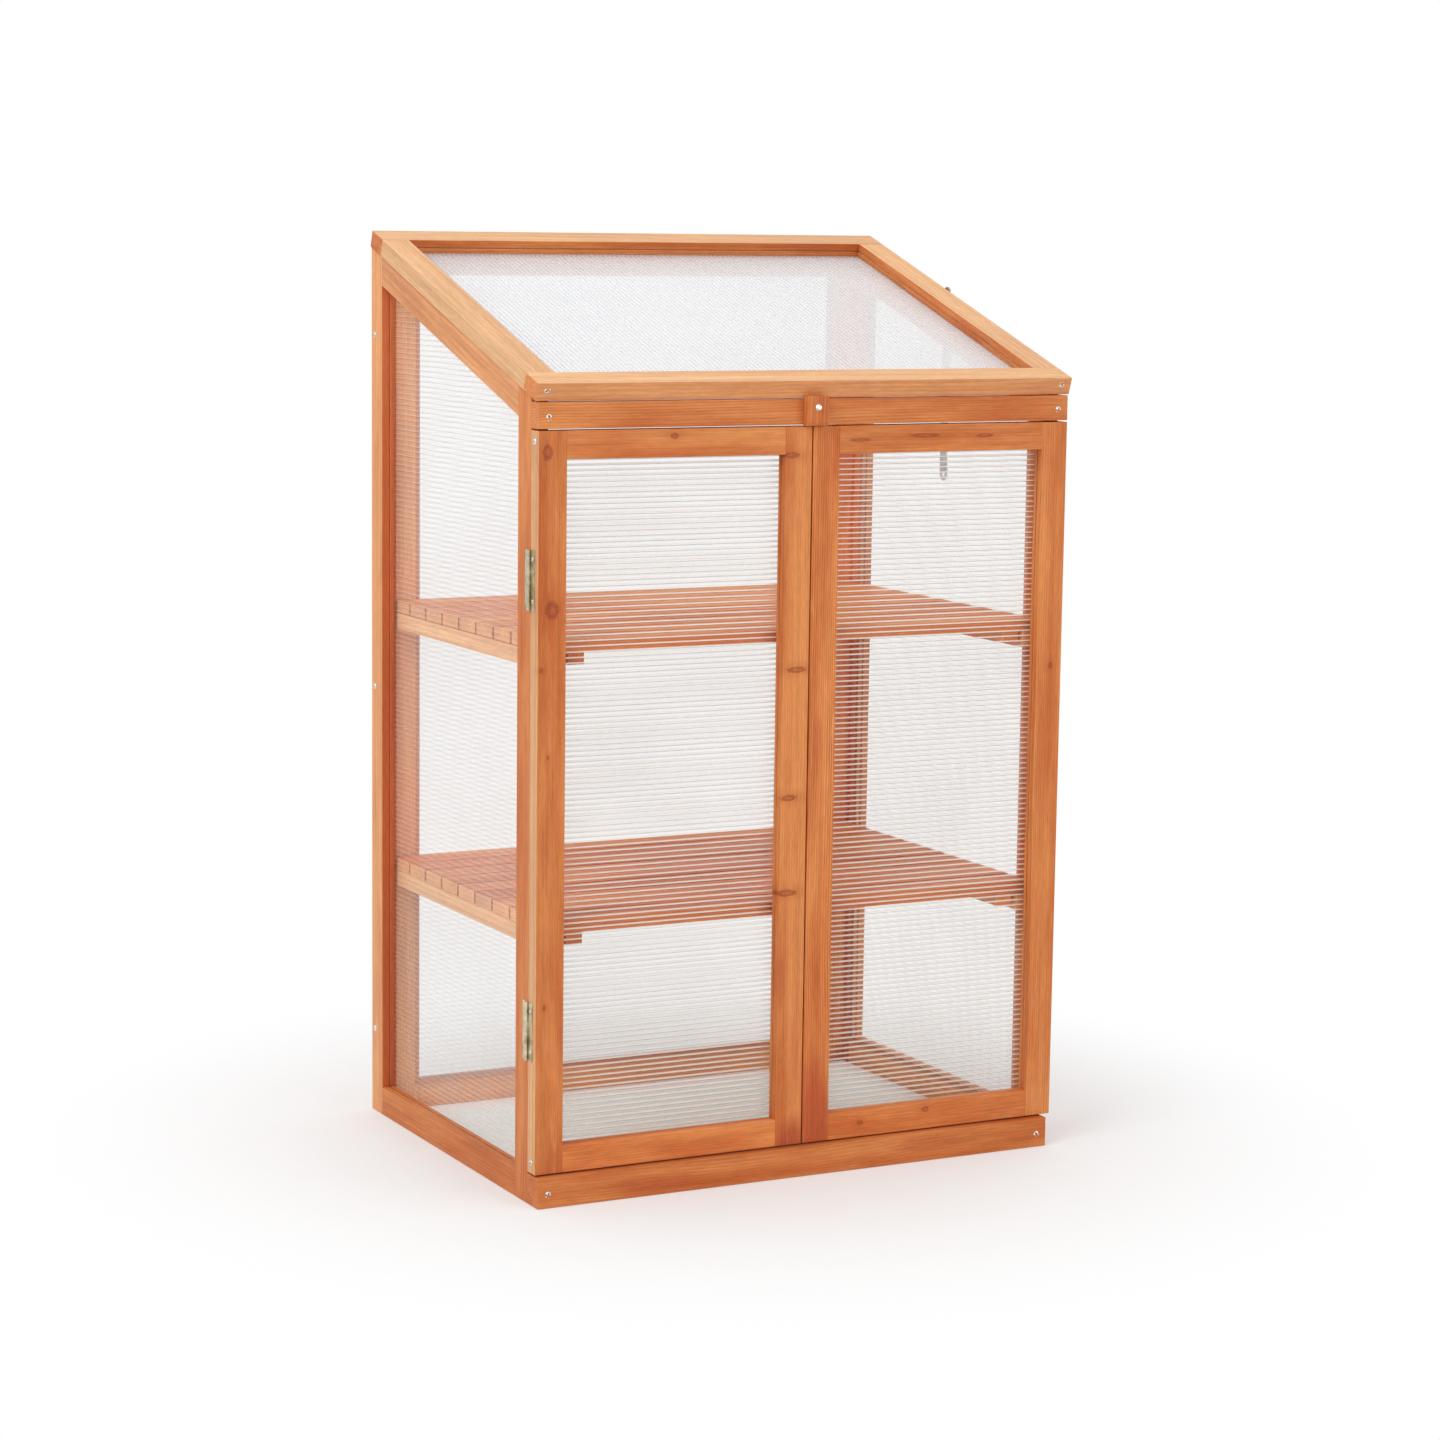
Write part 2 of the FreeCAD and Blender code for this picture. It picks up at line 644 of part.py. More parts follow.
# Pilot holes for the hinge screws, from the outer faces of side panels and doors.
frame_holes = [(f"{HINGE_Y} + {LEAF_MID}", height) for height in HINGE_SCREWS]
door_holes = [(f"{HINGE_Y} - {LEAF_MID} + door_seat", f"{height} - {DOOR_BOTTOM}")
              for height in HINGE_SCREWS]
edge_holes = [("0 - member_thickness / 2", "door_screw_inset"),
              ("0 - member_thickness / 2", f"{DOOR_HEIGHT} - door_screw_inset")]
back_holes = [("side_depth - member_thickness / 2", height)
              for height in ("back_screw_low", "(back_screw_low + rear_height - back_screw_top) / 2",
                             "rear_height - back_screw_top")]
for stile, holes, depth, radius in (
        (left_side["front_stile"], frame_holes, "small_shank_length", SMALL_SHANK),
        (left_side["rear_stile"], back_holes, "screw_shank_length", SHANK),
        (left_door["hinge_stile"], door_holes, "small_shank_length", SMALL_SHANK),
        (left_door["hinge_stile"], edge_holes, "screw_shank_length", SHANK)):
    drill(stile, "YZ_Plane", holes, depth, radius, onward=True)
for stile, holes, depth, radius, face in (
        (right_side["front_stile"], frame_holes, "small_shank_length", SMALL_SHANK, "member_thickness"),
        (right_side["rear_stile"], back_holes, "screw_shank_length", SHANK, "member_thickness"),
        (right_door["hinge_stile"], door_holes, "small_shank_length", SMALL_SHANK, DOOR_WIDTH),
        (right_door["hinge_stile"], edge_holes, "screw_shank_length", SHANK, DOOR_WIDTH)):
    drill(stile, "YZ_Plane", holes, depth, radius, face)

# Front rails: a screw near each end, and the pivot of the turn button.
PLINTH_LENGTH = "(side_span - plinth_short)"
for rail, end, middle in ((apron, "side_span", "apron_height / 2"),
                          (plinth, PLINTH_LENGTH, "plinth_height / 2")):
    drill(rail, "XZ_Plane", [("corner_inset", middle), (f"{end} - corner_inset", middle)],
          "screw_shank_length", SHANK)
drill(apron, "XZ_Plane", [(PIVOT_X, f"{PIVOT_Z} - {APRON_BOTTOM}")], "member_thickness",
      "pivot_radius + pivot_clearance")

screws("frame_screws", "large",
       [(FRONT, ("corner_inset", "0 - member_thickness", f"{APRON_BOTTOM} + apron_height / 2")),
        (FRONT, ("side_span - corner_inset", "0 - member_thickness",
                 f"{APRON_BOTTOM} + apron_height / 2")),
        (FRONT, ("corner_inset", "0 - plinth_thickness", "plinth_height / 2")),
        (FRONT, (f"{PLINTH_LENGTH} - corner_inset", "0 - plinth_thickness", "plinth_height / 2"))]
       + [(out, (face, along, height)) for out, face in ((LEFT, "0"), (RIGHT, "side_span"))
          for along, height in back_holes])
for side, out, face in (("left", LEFT, "0"), ("right", RIGHT, "side_span")):
    screws(f"{side}_door_edge_screws", "large",
           [(out, (face, f"{along} - door_seat", f"{DOOR_BOTTOM} + {height}"))
            for along, height in edge_holes])

# Screw that the turn button pivots on.
button_screw = plug(12, size("pivot_head_radius"), 0.6 * size("pivot_head_radius"), 0,
                    size("pivot_head_height"))
button_screw = button_screw.fuse(
    Part.makeCylinder(size("pivot_radius"), size("button_screw_length"),
                      FreeCAD.Vector(0, 0, -size("button_screw_length"))))
group("turn_button_screw",
      [fitting("button_pivot", aimed(button_screw, FRONT),
               (PIVOT_X, "0 - member_thickness - button_gap - button_thickness", PIVOT_Z))])

# Lid hinges behind the back rail. The lid leaf lies on the sloping rear face of the lid
# and reaches back to the pin over the edge of the back panel.
LID_PIN_Y = "(side_depth + knuckle_radius)"
LID_PIN_Z = "(rear_height + lid_pin_rise)"
LID_REAR_Z = f"({LID_FRONT_Z} + (side_depth - lid_rear_setback + lid_front_overhang) * {RISE})"
BEHIND = f"((lid_rear_setback + knuckle_radius) * cos({SLOPE}) + ({LID_PIN_Z} - {LID_REAR_Z}) * sin({SLOPE}))"
ABOVE = f"(({LID_PIN_Z} - {LID_REAR_Z}) * cos({SLOPE}) - (lid_rear_setback + knuckle_radius) * sin({SLOPE}))"
LID_LEAF_MID = "(hinge_leaf / 2 + knuckle_radius)"
lid_hinge_starts = ("lid_hinge_inset", "side_span - lid_hinge_inset - lid_hinge_length")


def lid_leaf(name):
    """Leaf in the lid's own tilt: local X along the pin, local Y along the slope."""
    body = doc.addObject("PartDesign::Body", name)
    tab = KNUCKLE % "lid_hinge_length"
    low = "knuckle_radius - leaf_thickness"
    plate = new_sketch(body, "YZ_Plane")
    outline(plate, [(f"0 - {BEHIND}", low), (f"leaf_thickness - {BEHIND}", low),
                    (f"leaf_thickness - {BEHIND}", "hinge_leaf + knuckle_radius"),
                    (f"0 - {BEHIND}", "hinge_leaf + knuckle_radius")])
    pad(body, plate, "lid_hinge_length")
    arm = new_sketch(body, "YZ_Plane", f"{tab} + knuckle_gap")
    outline(arm, [(f"0 - {BEHIND}", low), ("0", low), ("0", "knuckle_radius"),
                  (f"0 - {BEHIND}", "knuckle_radius")])
    pad(body, arm, tab)
    knuckle = new_sketch(body, "YZ_Plane", f"{tab} + knuckle_gap")
    circles(knuckle, [("0", "0")], "knuckle_radius")
    pad(body, knuckle, tab)
    bore = new_sketch(body, "YZ_Plane")
    circles(bore, [("0", "0")], "pin_radius + pin_clearance")
    pocket(body, bore, "lid_hinge_length", onward=True)
    drill(body, "XZ_Plane", [("hinge_screw_inset", LID_LEAF_MID),
                             ("lid_hinge_length - hinge_screw_inset", LID_LEAF_MID)],
          "leaf_thickness + knuckle_radius", SMALL_SHANK, f"{BEHIND} + 1")
    return body


lid_leaves, frame_leaves, lid_pins, lid_points, frame_points = [], [], [], [], []
for i, start in enumerate(lid_hinge_starts):
    moving = lid_leaf(f"lid_leaf_{i + 1}")
    place(moving, start, LID_PIN_Y, LID_PIN_Z, tilt=SLOPE)
    lid_leaves.append(moving)
    still = leaf(f"lid_frame_leaf_{i + 1}", "lid_hinge_length", True)
    still.Placement = FreeCAD.Placement(FreeCAD.Vector(), FreeCAD.Rotation(FreeCAD.Vector(0, 1, 0), 90))
    place(still, start, LID_PIN_Y, LID_PIN_Z)
    frame_leaves.append(still)
    pin = hinge_pin(f"lid_pin_{i + 1}", "lid_hinge_length")
    pin.Placement = FreeCAD.Placement(FreeCAD.Vector(), FreeCAD.Rotation(FreeCAD.Vector(0, 1, 0), 90))
    place(pin, start, LID_PIN_Y, LID_PIN_Z)
    lid_pins.append(pin)
    for inset in ("hinge_screw_inset", "lid_hinge_length - hinge_screw_inset"):
        frame_points.append((f"{start} + {inset}", f"{LID_PIN_Z} - {LEAF_MID}"))
        lid_points.append(f"{start} + {inset}")
group("lid_hinge_lid_leaves", lid_leaves)
group("lid_hinge_frame_leaves", frame_leaves)
group("lid_hinge_pins", lid_pins)
drill(back["back_top_rail"], "XZ_Plane", frame_points, "small_shank_length", SMALL_SHANK, onward=True)
screws("lid_hinge_frame_screws", "small",
       [(REAR, (x, "side_depth + leaf_thickness", z)) for x, z in frame_points])


def on_lid(x, along, up):
    """Panel coordinates of a point given in the lid's own tilted plane."""
    return (f"{x} - lid_side_overhang",
            f"0 - lid_front_overhang + ({along}) * cos({SLOPE}) - ({up}) * sin({SLOPE})",
            f"{LID_FRONT_Z} + ({along}) * sin({SLOPE}) + ({up}) * cos({SLOPE})")


lid_screw_x = ("corner_inset", f"{LID_WIDTH} - corner_inset")
drill(lid["lid_front_rail"], "XZ_Plane", [(x, "lid_thickness / 2") for x in lid_screw_x],
      "screw_shank_length", SHANK)
drill(lid["lid_back_rail"], "XZ_Plane", [(x, "lid_thickness / 2") for x in lid_screw_x],
      "screw_shank_length", SHANK, f"0 - {LID_LENGTH}", True)
drill(lid["lid_back_rail"], "XZ_Plane",
      [(f"{x} + lid_side_overhang", f"{ABOVE} + {LID_LEAF_MID}") for x in lid_points],
      "small_shank_length", SMALL_SHANK, f"0 - {LID_LENGTH}", True)
screws("lid_screws", "large",
       [(FRONT, on_lid(x, "0", "lid_thickness / 2")) for x in lid_screw_x]
       + [(REAR, on_lid(x, LID_LENGTH, "lid_thickness / 2")) for x in lid_screw_x], tilt=SLOPE)
screws("lid_hinge_lid_screws", "small",
       [(REAR, on_lid(f"{x} + lid_side_overhang", f"{LID_LENGTH} + leaf_thickness",
                      f"{ABOVE} + {LID_LEAF_MID}")) for x in lid_points], tilt=SLOPE)

# Roof stay: a flat bar that hangs from the right rail of the lid; a hole of it goes over
# the peg on the side panel when the lid stands open.
STAY_UP = "(lid_thickness - stay_drop)"
drill(lid["lid_right_rail"], "YZ_Plane", [("stay_along", STAY_UP)], "stay_bolt_length",
      "pivot_radius + pivot_clearance", LID_WIDTH)
stay = new_body("roof_stay")
bar = new_sketch(stay, "YZ_Plane")
outline(bar, [("0 - stay_width / 2", "0 - stay_length"), ("stay_width / 2", "0 - stay_length"),
              ("stay_width / 2", "0"), ("0 - stay_width / 2", "0")])
pad(stay, bar, "stay_thickness")
for end in ("0", "0 - stay_length"):
    tip = new_sketch(stay, "YZ_Plane")
    circles(tip, [("0", end)], "stay_width / 2")
    pad(stay, tip, "stay_thickness")
drill(stay, "YZ_Plane", [("0", "0")], "stay_thickness", "pivot_radius + pivot_clearance", onward=True,
      sides=0)
drill(stay, "YZ_Plane", [("0", f"{i} * stay_hole_pitch - stay_length")
                         for i in range(int(size("stay_hole_count")))],
      "stay_thickness", "stay_hole_radius", onward=True, sides=12)
place(stay, *[f"{formula} + stay_spacer + stay_gap" if i == 0 else formula
              for i, formula in enumerate(on_lid(LID_WIDTH, "stay_along", STAY_UP))])

stack = size("stay_spacer") + size("stay_thickness") + 2 * size("stay_gap")
bolt = plug(12, size("stay_shoulder_radius"), size("stay_shoulder_radius"), 0, size("stay_spacer"))
bolt = bolt.fuse(Part.makeCylinder(size("pivot_radius"), stack))
bolt = bolt.fuse(plug(6, size("pivot_radius"), size("pivot_radius"), -size("stay_bolt_length"), 0))
bolt = bolt.fuse(plug(12, size("pivot_head_radius"), 0.6 * size("pivot_head_radius"), stack,
                      stack + size("pivot_head_height")))
group("stay_pivot_bolt", [fitting("stay_bolt", aimed(bolt, RIGHT),
                                  on_lid(LID_WIDTH, "stay_along", STAY_UP))])

PEG_Z = f"(front_height + peg_back * {RISE} - member_width * {STRETCH} / 2)"
drill(right_side["top_rail"], "YZ_Plane", [("peg_back", PEG_Z)], "peg_length",
      "pivot_radius + pivot_clearance", "member_thickness")
peg = plug(12, size("peg_head_radius"), size("peg_head_radius"), 0, size("peg_head_height"))
peg = peg.fuse(plug(6, size("pivot_radius"), size("pivot_radius"), -size("peg_length"), 0))
group("stay_peg", [fitting("stay_peg_turned", aimed(peg, RIGHT), ("side_span", "peg_back", PEG_Z))])

doc.recompute()

failed = [item.Name for item in doc.Objects if {"Invalid", "Error"} & set(item.State)]
empty = [part.Label for part in PARTS
         if part.Shape.isNull() or not part.Shape.isValid() or not part.Shape.Solids]
if failed or empty:
    raise RuntimeError(f"not built: {failed} {empty}")

os.makedirs("parts", exist_ok=True)
for part in PARTS:
    part.Shape.exportStep(f"parts/{part.Label}.step")
box = FreeCAD.BoundBox()
for part in PARTS:
    box.add(part.Shape.BoundBox)
print(f"{len(PARTS)} parts, {sum(len(part.Shape.Solids) for part in PARTS)} solids, "
      f"{box.XLength:.1f} x {box.YLength:.1f} x {box.ZLength:.1f} mm, "
      f"X {box.XMin:.2f} Y {box.YMin:.2f} Z {box.ZMin:.2f}")
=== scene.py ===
import json
import math
import random

import bmesh
import bpy
from mathutils import Matrix, Vector

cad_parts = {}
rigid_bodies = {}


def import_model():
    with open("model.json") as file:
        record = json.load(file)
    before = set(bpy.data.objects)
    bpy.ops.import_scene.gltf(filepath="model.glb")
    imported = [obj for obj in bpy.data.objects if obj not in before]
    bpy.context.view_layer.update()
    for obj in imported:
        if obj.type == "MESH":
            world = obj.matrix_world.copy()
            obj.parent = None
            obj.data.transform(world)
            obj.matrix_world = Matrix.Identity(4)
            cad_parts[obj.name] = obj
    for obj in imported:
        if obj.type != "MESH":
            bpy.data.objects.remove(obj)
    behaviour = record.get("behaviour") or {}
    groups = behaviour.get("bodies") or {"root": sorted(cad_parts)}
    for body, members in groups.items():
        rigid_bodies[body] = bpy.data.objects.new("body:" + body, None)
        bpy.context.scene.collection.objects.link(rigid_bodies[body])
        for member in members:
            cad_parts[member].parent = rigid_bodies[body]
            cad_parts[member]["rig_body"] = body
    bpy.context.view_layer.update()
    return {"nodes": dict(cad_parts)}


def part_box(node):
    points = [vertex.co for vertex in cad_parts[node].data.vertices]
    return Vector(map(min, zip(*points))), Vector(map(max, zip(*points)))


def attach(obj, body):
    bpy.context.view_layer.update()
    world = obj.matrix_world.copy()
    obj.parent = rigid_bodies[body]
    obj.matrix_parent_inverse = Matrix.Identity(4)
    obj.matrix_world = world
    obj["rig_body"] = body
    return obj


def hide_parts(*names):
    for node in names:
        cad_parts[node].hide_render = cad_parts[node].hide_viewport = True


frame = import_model()
random.seed(11)

NODES = frame["nodes"]
BODY_OF = {name: item["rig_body"] for name, item in NODES.items()}
MM = 0.001
# From the left side panel's front lower corner to the middle of the object, mm.
PANEL_SHIFT = Vector((-352.5, -226.55, 0.0))
# Pitch of the lid: its rise over the depth of the side panels, mm.
SLOPE = math.atan(160.0 / 485.0)

X, Y, Z = Vector((1, 0, 0)), Vector((0, 1, 0)), Vector((0, 0, 1))
LEFT, FRONT = -X, -Y
SLANT = Vector((0.0, math.cos(SLOPE), math.sin(SLOPE)))
ROOF_UP = Vector((0.0, -math.sin(SLOPE), math.cos(SLOPE)))

# Points closer than this are one point, and one height, in metres.
SAME_POINT = 1e-6
SAME_HEIGHT = 1e-5


def linear(red, green, blue):
    """Colour written as it shows on screen, turned into light values."""
    return tuple((c / 12.92 if c <= 0.04045 else ((c + 0.055) / 1.055) ** 2.4)
                 for c in (red / 255.0, green / 255.0, blue / 255.0)) + (1.0,)


WHITE = (1.0, 1.0, 1.0, 1.0)


class Tree:
    """Short way to build the node tree of a material or a world."""

    def __init__(self, owner, output="OutputMaterial"):
        owner.use_nodes = True
        self.owner = owner
        self.tree = owner.node_tree
        self.tree.nodes.clear()
        self.output = self.node(output)

    def feed(self, socket, value):
        if isinstance(value, bpy.types.NodeSocket):
            self.tree.links.new(value, socket)
        elif value is not None:
            socket.default_value = value

    def node(self, kind, inputs=None, **props):
        made = self.tree.nodes.new("ShaderNode" + kind)
        for key, value in props.items():
            setattr(made, key, value)
        for key, value in (inputs or {}).items():
            self.feed(made.inputs[key], value)
        return made

    def attribute(self, name, output="Fac"):
        return self.node("Attribute", attribute_name=name).outputs[output]

    def split(self, vector):
        return self.node("SeparateXYZ", {0: vector}).outputs

    def math(self, operation, first, second=None, clamp=False):
        made = self.node("Math", {0: first, 1: second}, operation=operation)
        made.use_clamp = clamp
        return made.outputs[0]

    def times(self, first, second, clamp=False):
        return self.math("MULTIPLY", first, second, clamp)

    def plus(self, first, second, clamp=False):
        return self.math("ADD", first, second, clamp)

    def away_from(self, value, middle):
        return self.math("ABSOLUTE", self.math("SUBTRACT", value, middle))

    def vector(self, operation, first, second=None):
        made = self.node("VectorMath", {0: first, 1: second}, operation=operation)
        return made.outputs["Value" if operation == "LENGTH" else 0]

    def mix(self, factor, first, second, blend="MIX"):
        made = self.node("Mix", data_type="RGBA", blend_type=blend)
        self.feed(made.inputs[0], factor)
        self.feed(made.inputs[6], first)
        self.feed(made.inputs[7], second)
        return made.outputs[2]

    def noise(self, vector, scale, detail=2.0, rough=0.5):
        return self.node("TexNoise", {"Vector": vector, "Scale": scale, "Detail": detail,
                                      "Roughness": rough}).outputs["Fac"]

    def band(self, value, low, high, to_low=0.0, to_high=1.0):
        """Smooth step from to_low at low to to_high at high."""
        return self.node("MapRange", {"Value": value, "From Min": low, "From Max": high,
                                      "To Min": to_low, "To Max": to_high},
                         interpolation_type="SMOOTHSTEP").outputs[0]

    def ramp(self, value, to_low, to_high):
        """Straight way from to_low at 0 to to_high at 1."""
        return self.node("MapRange", {"Value": value, "To Min": to_low,
                                      "To Max": to_high}).outputs[0]

    def bump(self, height, strength, distance):
        return self.node("Bump", {"Height": height, "Strength": strength,
                                  "Distance": distance}).outputs[0]

    def close(self, shader):
        self.tree.links.new(shader, self.output.inputs[0])
        return self.owner


LIGHT_STAIN = linear(228, 146, 82)
DEEP_STAIN = linear(198, 104, 48)
LATE_WOOD = linear(176, 82, 34)
# Pale wood: pale streaks of the wood, and painted light on faces that catch the light.
PALE_WOOD_AND_LIGHT = linear(238, 200, 150)
KNOT_WOOD = linear(150, 62, 30)
# Red stain: redder patches of stain, and painted shade on a reveal and the shelves' front faces.
RED_STAIN_AND_SHADE = linear(186, 84, 46)
# Growth rings in one metre, and how far they sway from their straight run, in metres.
RINGS_PER_METRE = 330.0
RING_SWAY = 0.034
# Share of a knot's half width by which the rings swerve round it.
KNOT_SWERVE = 0.8


def wood_material(name, knots=(), patches=()):
    """Stained fir. The grain attribute gives metres: X along the fibres, Y and Z across.
    The trait attribute gives each board's brightness, with painted light in it on some boards
    seen from inside, ring strength and redness. The pale attribute gives each face's share of
    painted light, drawn as pale wood; where it is below zero, its share of painted shade, drawn
    as redder stain."""
    t = Tree(bpy.data.materials.new(name))
    grain = t.attribute("grain", "Vector")
    tone, ringy, red = t.split(t.attribute("trait", "Vector"))
    pale = t.attribute("pale")

    def along_fibres(along, across, detail, rough=0.5, shift=0.0):
        """Noise with its own count of waves in a metre along and across the fibres."""
        at = t.vector("MULTIPLY", grain, (along, across, across))
        if shift:
            at = t.vector("ADD", at, (shift, shift, shift))
        return t.noise(at, 1.0, detail, rough)

    def offset_from(place):
        return t.vector("SUBTRACT", grain, place)

    _, y, z = t.split(grain)
    sway_y = t.math("SUBTRACT", along_fibres(1.6, 7.0, 2.0, 0.45), 0.5)
    sway_z = t.math("SUBTRACT", along_fibres(1.6, 7.0, 1.0, shift=5.3), 0.5)
    cloud = along_fibres(9.0, 60.0, 3.0, 0.6, shift=3.1)
    ragged = t.math("SUBTRACT", along_fibres(420.0, 420.0, 2.0), 0.5)

    # Knots: a dark ring round a paler core, a darker halo, and rings that swerve round it.
    swerve, core, halo = None, None, None
    for px, py, pz, long_way, short_way in knots:
        reach = t.vector("LENGTH", t.vector("MULTIPLY", offset_from((px, py, pz)),
                                            (1 / long_way, 1 / short_way, 0.4 / short_way)))
        reach = t.plus(reach, t.times(ragged, 0.9))
        near = t.band(reach, 4.0, 0.3)
        rings = t.times(t.band(reach, 1.25, 0.75), t.band(reach, 0.15, 0.75, 0.45, 1.0))
        swell = t.times(near, short_way * KNOT_SWERVE)
        swerve = swell if swerve is None else t.plus(swerve, swell)
        core = rings if core is None else t.math("MAXIMUM", core, rings)
        halo = near if halo is None else t.math("MAXIMUM", halo, near)

    # Growth rings round an axis outside the board; late wood is each ring's dark end.
    radial_y = t.plus(y, t.times(sway_y, RING_SWAY))
    radial_z = t.plus(z, t.times(sway_z, RING_SWAY))
    if swerve is not None:
        radial_y = t.plus(radial_y, swerve)
    radius = t.vector("LENGTH", t.node("CombineXYZ", {1: radial_y, 2: radial_z}).outputs[0])
    ring = t.math("FRACT", t.times(radius, RINGS_PER_METRE))
    late = t.times(t.band(ring, 0.10, 0.80), t.band(ring, 1.0, 0.86))
    blotch = along_fibres(4.0, 26.0, 3.0, 0.55)
    streak = along_fibres(3.0, 260.0, 3.0, 0.6)
    fibre = along_fibres(22.0, 1500.0, 2.0, 0.6)
    fleck = along_fibres(55.0, 430.0, 2.0, 0.6, shift=7.7)

    deep = t.plus(t.band(blotch, 0.30, 0.72), t.times(red, 0.4), clamp=True)
    colour = t.mix(deep, LIGHT_STAIN, DEEP_STAIN)
    for px, py, pz, long_way, short_way, strength in patches:
        offset = t.vector("MULTIPLY", offset_from((px, py, pz)),
                          (1 / long_way, 1 / short_way, 1 / short_way))
        reach = t.plus(t.vector("LENGTH", offset), t.times(cloud, 0.7))
        colour = t.mix(t.times(t.band(reach, 1.5, 0.7), strength), colour, RED_STAIN_AND_SHADE)
    late_share = t.times(t.times(late, ringy), t.band(cloud, 0.25, 0.75, 0.25, 0.75))
    colour = t.mix(late_share, colour, LATE_WOOD)
    colour = t.mix(t.times(t.band(cloud, 0.62, 0.85), 0.35), colour, PALE_WOOD_AND_LIGHT)
    # Painted light on faces turned a given way, drawn as pale wood; below zero, painted shade
    # drawn as redder stain.
    painted_light_share = t.times(pale, t.band(streak, 0.2, 0.8, 1.0, 0.72), clamp=True)
    colour = t.mix(painted_light_share, colour, PALE_WOOD_AND_LIGHT)
    colour = t.mix(t.times(pale, -1.0, clamp=True), colour, RED_STAIN_AND_SHADE)
    if core is not None:
        colour = t.mix(t.times(halo, 0.28), colour, LATE_WOOD)
        colour = t.mix(t.times(core, 0.72), colour, KNOT_WOOD)

    shade = t.times(t.band(streak, 0.28, 0.72, 1.07, 0.91), t.band(fibre, 0.3, 0.7, 1.04, 0.95))
    shade = t.times(shade, t.band(fleck, 0.32, 0.68, 1.06, 0.93))
    shade = t.times(shade, tone)
    grey = t.node("CombineColor", {0: shade, 1: shade, 2: shade}).outputs[0]
    colour = t.mix(1.0, colour, grey, "MULTIPLY")
    height = t.plus(t.times(late, 0.4), t.times(fibre, 0.6))
    return t.close(t.node("BsdfPrincipled", {
        "Base Color": colour, "Roughness": t.band(streak, 0.3, 0.7, 0.42, 0.56),
        "Normal": t.bump(height, 0.22, 0.4 * MM), "Specular IOR Level": 0.25}).outputs[0])


# Painted shade for the hollow of a screw's cross.
SCREW_CROSS_SHADE = linear(60, 52, 46)


def metal_material(name, light, deep, rough):
    """Plated metal with a fine drawn texture and a little tarnish. The recess attribute marks
    the painted shade in the hollow of a screw's cross."""
    t = Tree(bpy.data.materials.new(name))
    at = t.node("TexCoord").outputs["Object"]
    fine = t.noise(at, 900.0, 3.0, 0.6)
    blot = t.noise(at, 70.0, 3.0, 0.6)
    colour = t.mix(t.band(blot, 0.35, 0.7), light, deep)
    # Painted shade in the cross.
    colour = t.mix(t.times(t.attribute("recess"), 0.95), colour, SCREW_CROSS_SHADE)
    return t.close(t.node("BsdfPrincipled", {
        "Base Color": colour, "Metallic": 1.0,
        "Roughness": t.band(fine, 0.3, 0.7, rough - 0.07, rough + 0.1),
        "Normal": t.bump(fine, 0.08, 0.2 * MM)}).outputs[0])


FLUTE_SHADE_LINE = linear(98, 118, 120)
# Places of a flute's painted highlight band and painted shade line, as shares of the flutes'
# pitch.
BAND_AT, LINE_AT = 0.5, 0.29
# The painted light over a sheet's lap, the colour of lit wood, ends between these ways in from its
# edges, in metres.
LAP_INNER, LAP_OUTER = 5.3 * MM, 4.8 * MM


def sheet_material(name, haze_low, haze_high, band_share=0.0, line_share=0.0,
                   highlight_colour=(255, 246, 236), haze_colour=(245, 248, 250), lap_painted_light=None):
    """Clear ribbed plastic that lets lamp light through. The flute attribute counts the flutes:
    each shows as a pale band, a painted highlight of the light its rib catches, with a thin grey
    line under it, painted shade. The rim attributes give the way in from the four edges. With a
    lap colour, the sheet's rims are painted nearly opaque in the colour of lit stained wood:
    painted light over the wood in the rebate behind, which renders dark there."""
    t = Tree(bpy.data.materials.new(name))
    haze = t.band(t.noise(t.node("TexCoord").outputs["Object"], 7.0, 3.0, 0.5), 0.3, 0.7)
    phase = t.math("FRACT", t.attribute("flute"))
    # The band is a painted highlight, the line painted shade.
    band = t.band(t.away_from(phase, BAND_AT), 0.17, 0.07)
    line = t.band(t.away_from(phase, LINE_AT), 0.08, 0.03)
    colour = t.mix(haze, linear(*haze_colour), linear(*(0.98 * c for c in haze_colour)))
    colour = t.mix(band, colour, linear(*highlight_colour))
    colour = t.mix(line, colour, FLUTE_SHADE_LINE)
    marks = t.math("MAXIMUM", t.times(band, band_share), t.times(line, line_share))
    alpha = t.plus(t.ramp(haze, haze_low, haze_high), marks)
    if lap_painted_light:
        first, second, third = t.split(t.attribute("rim", "Vector"))
        least = t.math("MINIMUM", t.math("MINIMUM", first, second),
                       t.math("MINIMUM", third, t.attribute("rim_fourth")))
        # Painted light: the rims take the colour of lit stained wood over the wood behind, which
        # renders dark.
        lap = t.band(least, LAP_INNER, LAP_OUTER)
        colour = t.mix(t.times(lap, 0.92), colour, linear(*lap_painted_light))
        alpha = t.math("MAXIMUM", alpha, t.times(lap, 0.96))
    plastic = t.node("BsdfPrincipled", {
        "Base Color": colour, "Roughness": 0.25, "IOR": 1.5, "Alpha": alpha,
        "Normal": t.bump(band, 0.2, 0.3 * MM)})
    clear = t.node("BsdfTransparent")
    to_lamp = t.node("LightPath").outputs["Is Shadow Ray"]
    return t.close(t.node("MixShader", {0: to_lamp, 1: plastic.outputs[0],
                                        2: clear.outputs[0]}).outputs[0])


WOOD = wood_material("stained_fir")
HINGE_METAL = metal_material("hinge_plate", linear(226, 217, 190), linear(176, 164, 130), 0.28)
SCREW_METAL = metal_material("screw_plate", linear(240, 240, 238), linear(206, 206, 206), 0.34)
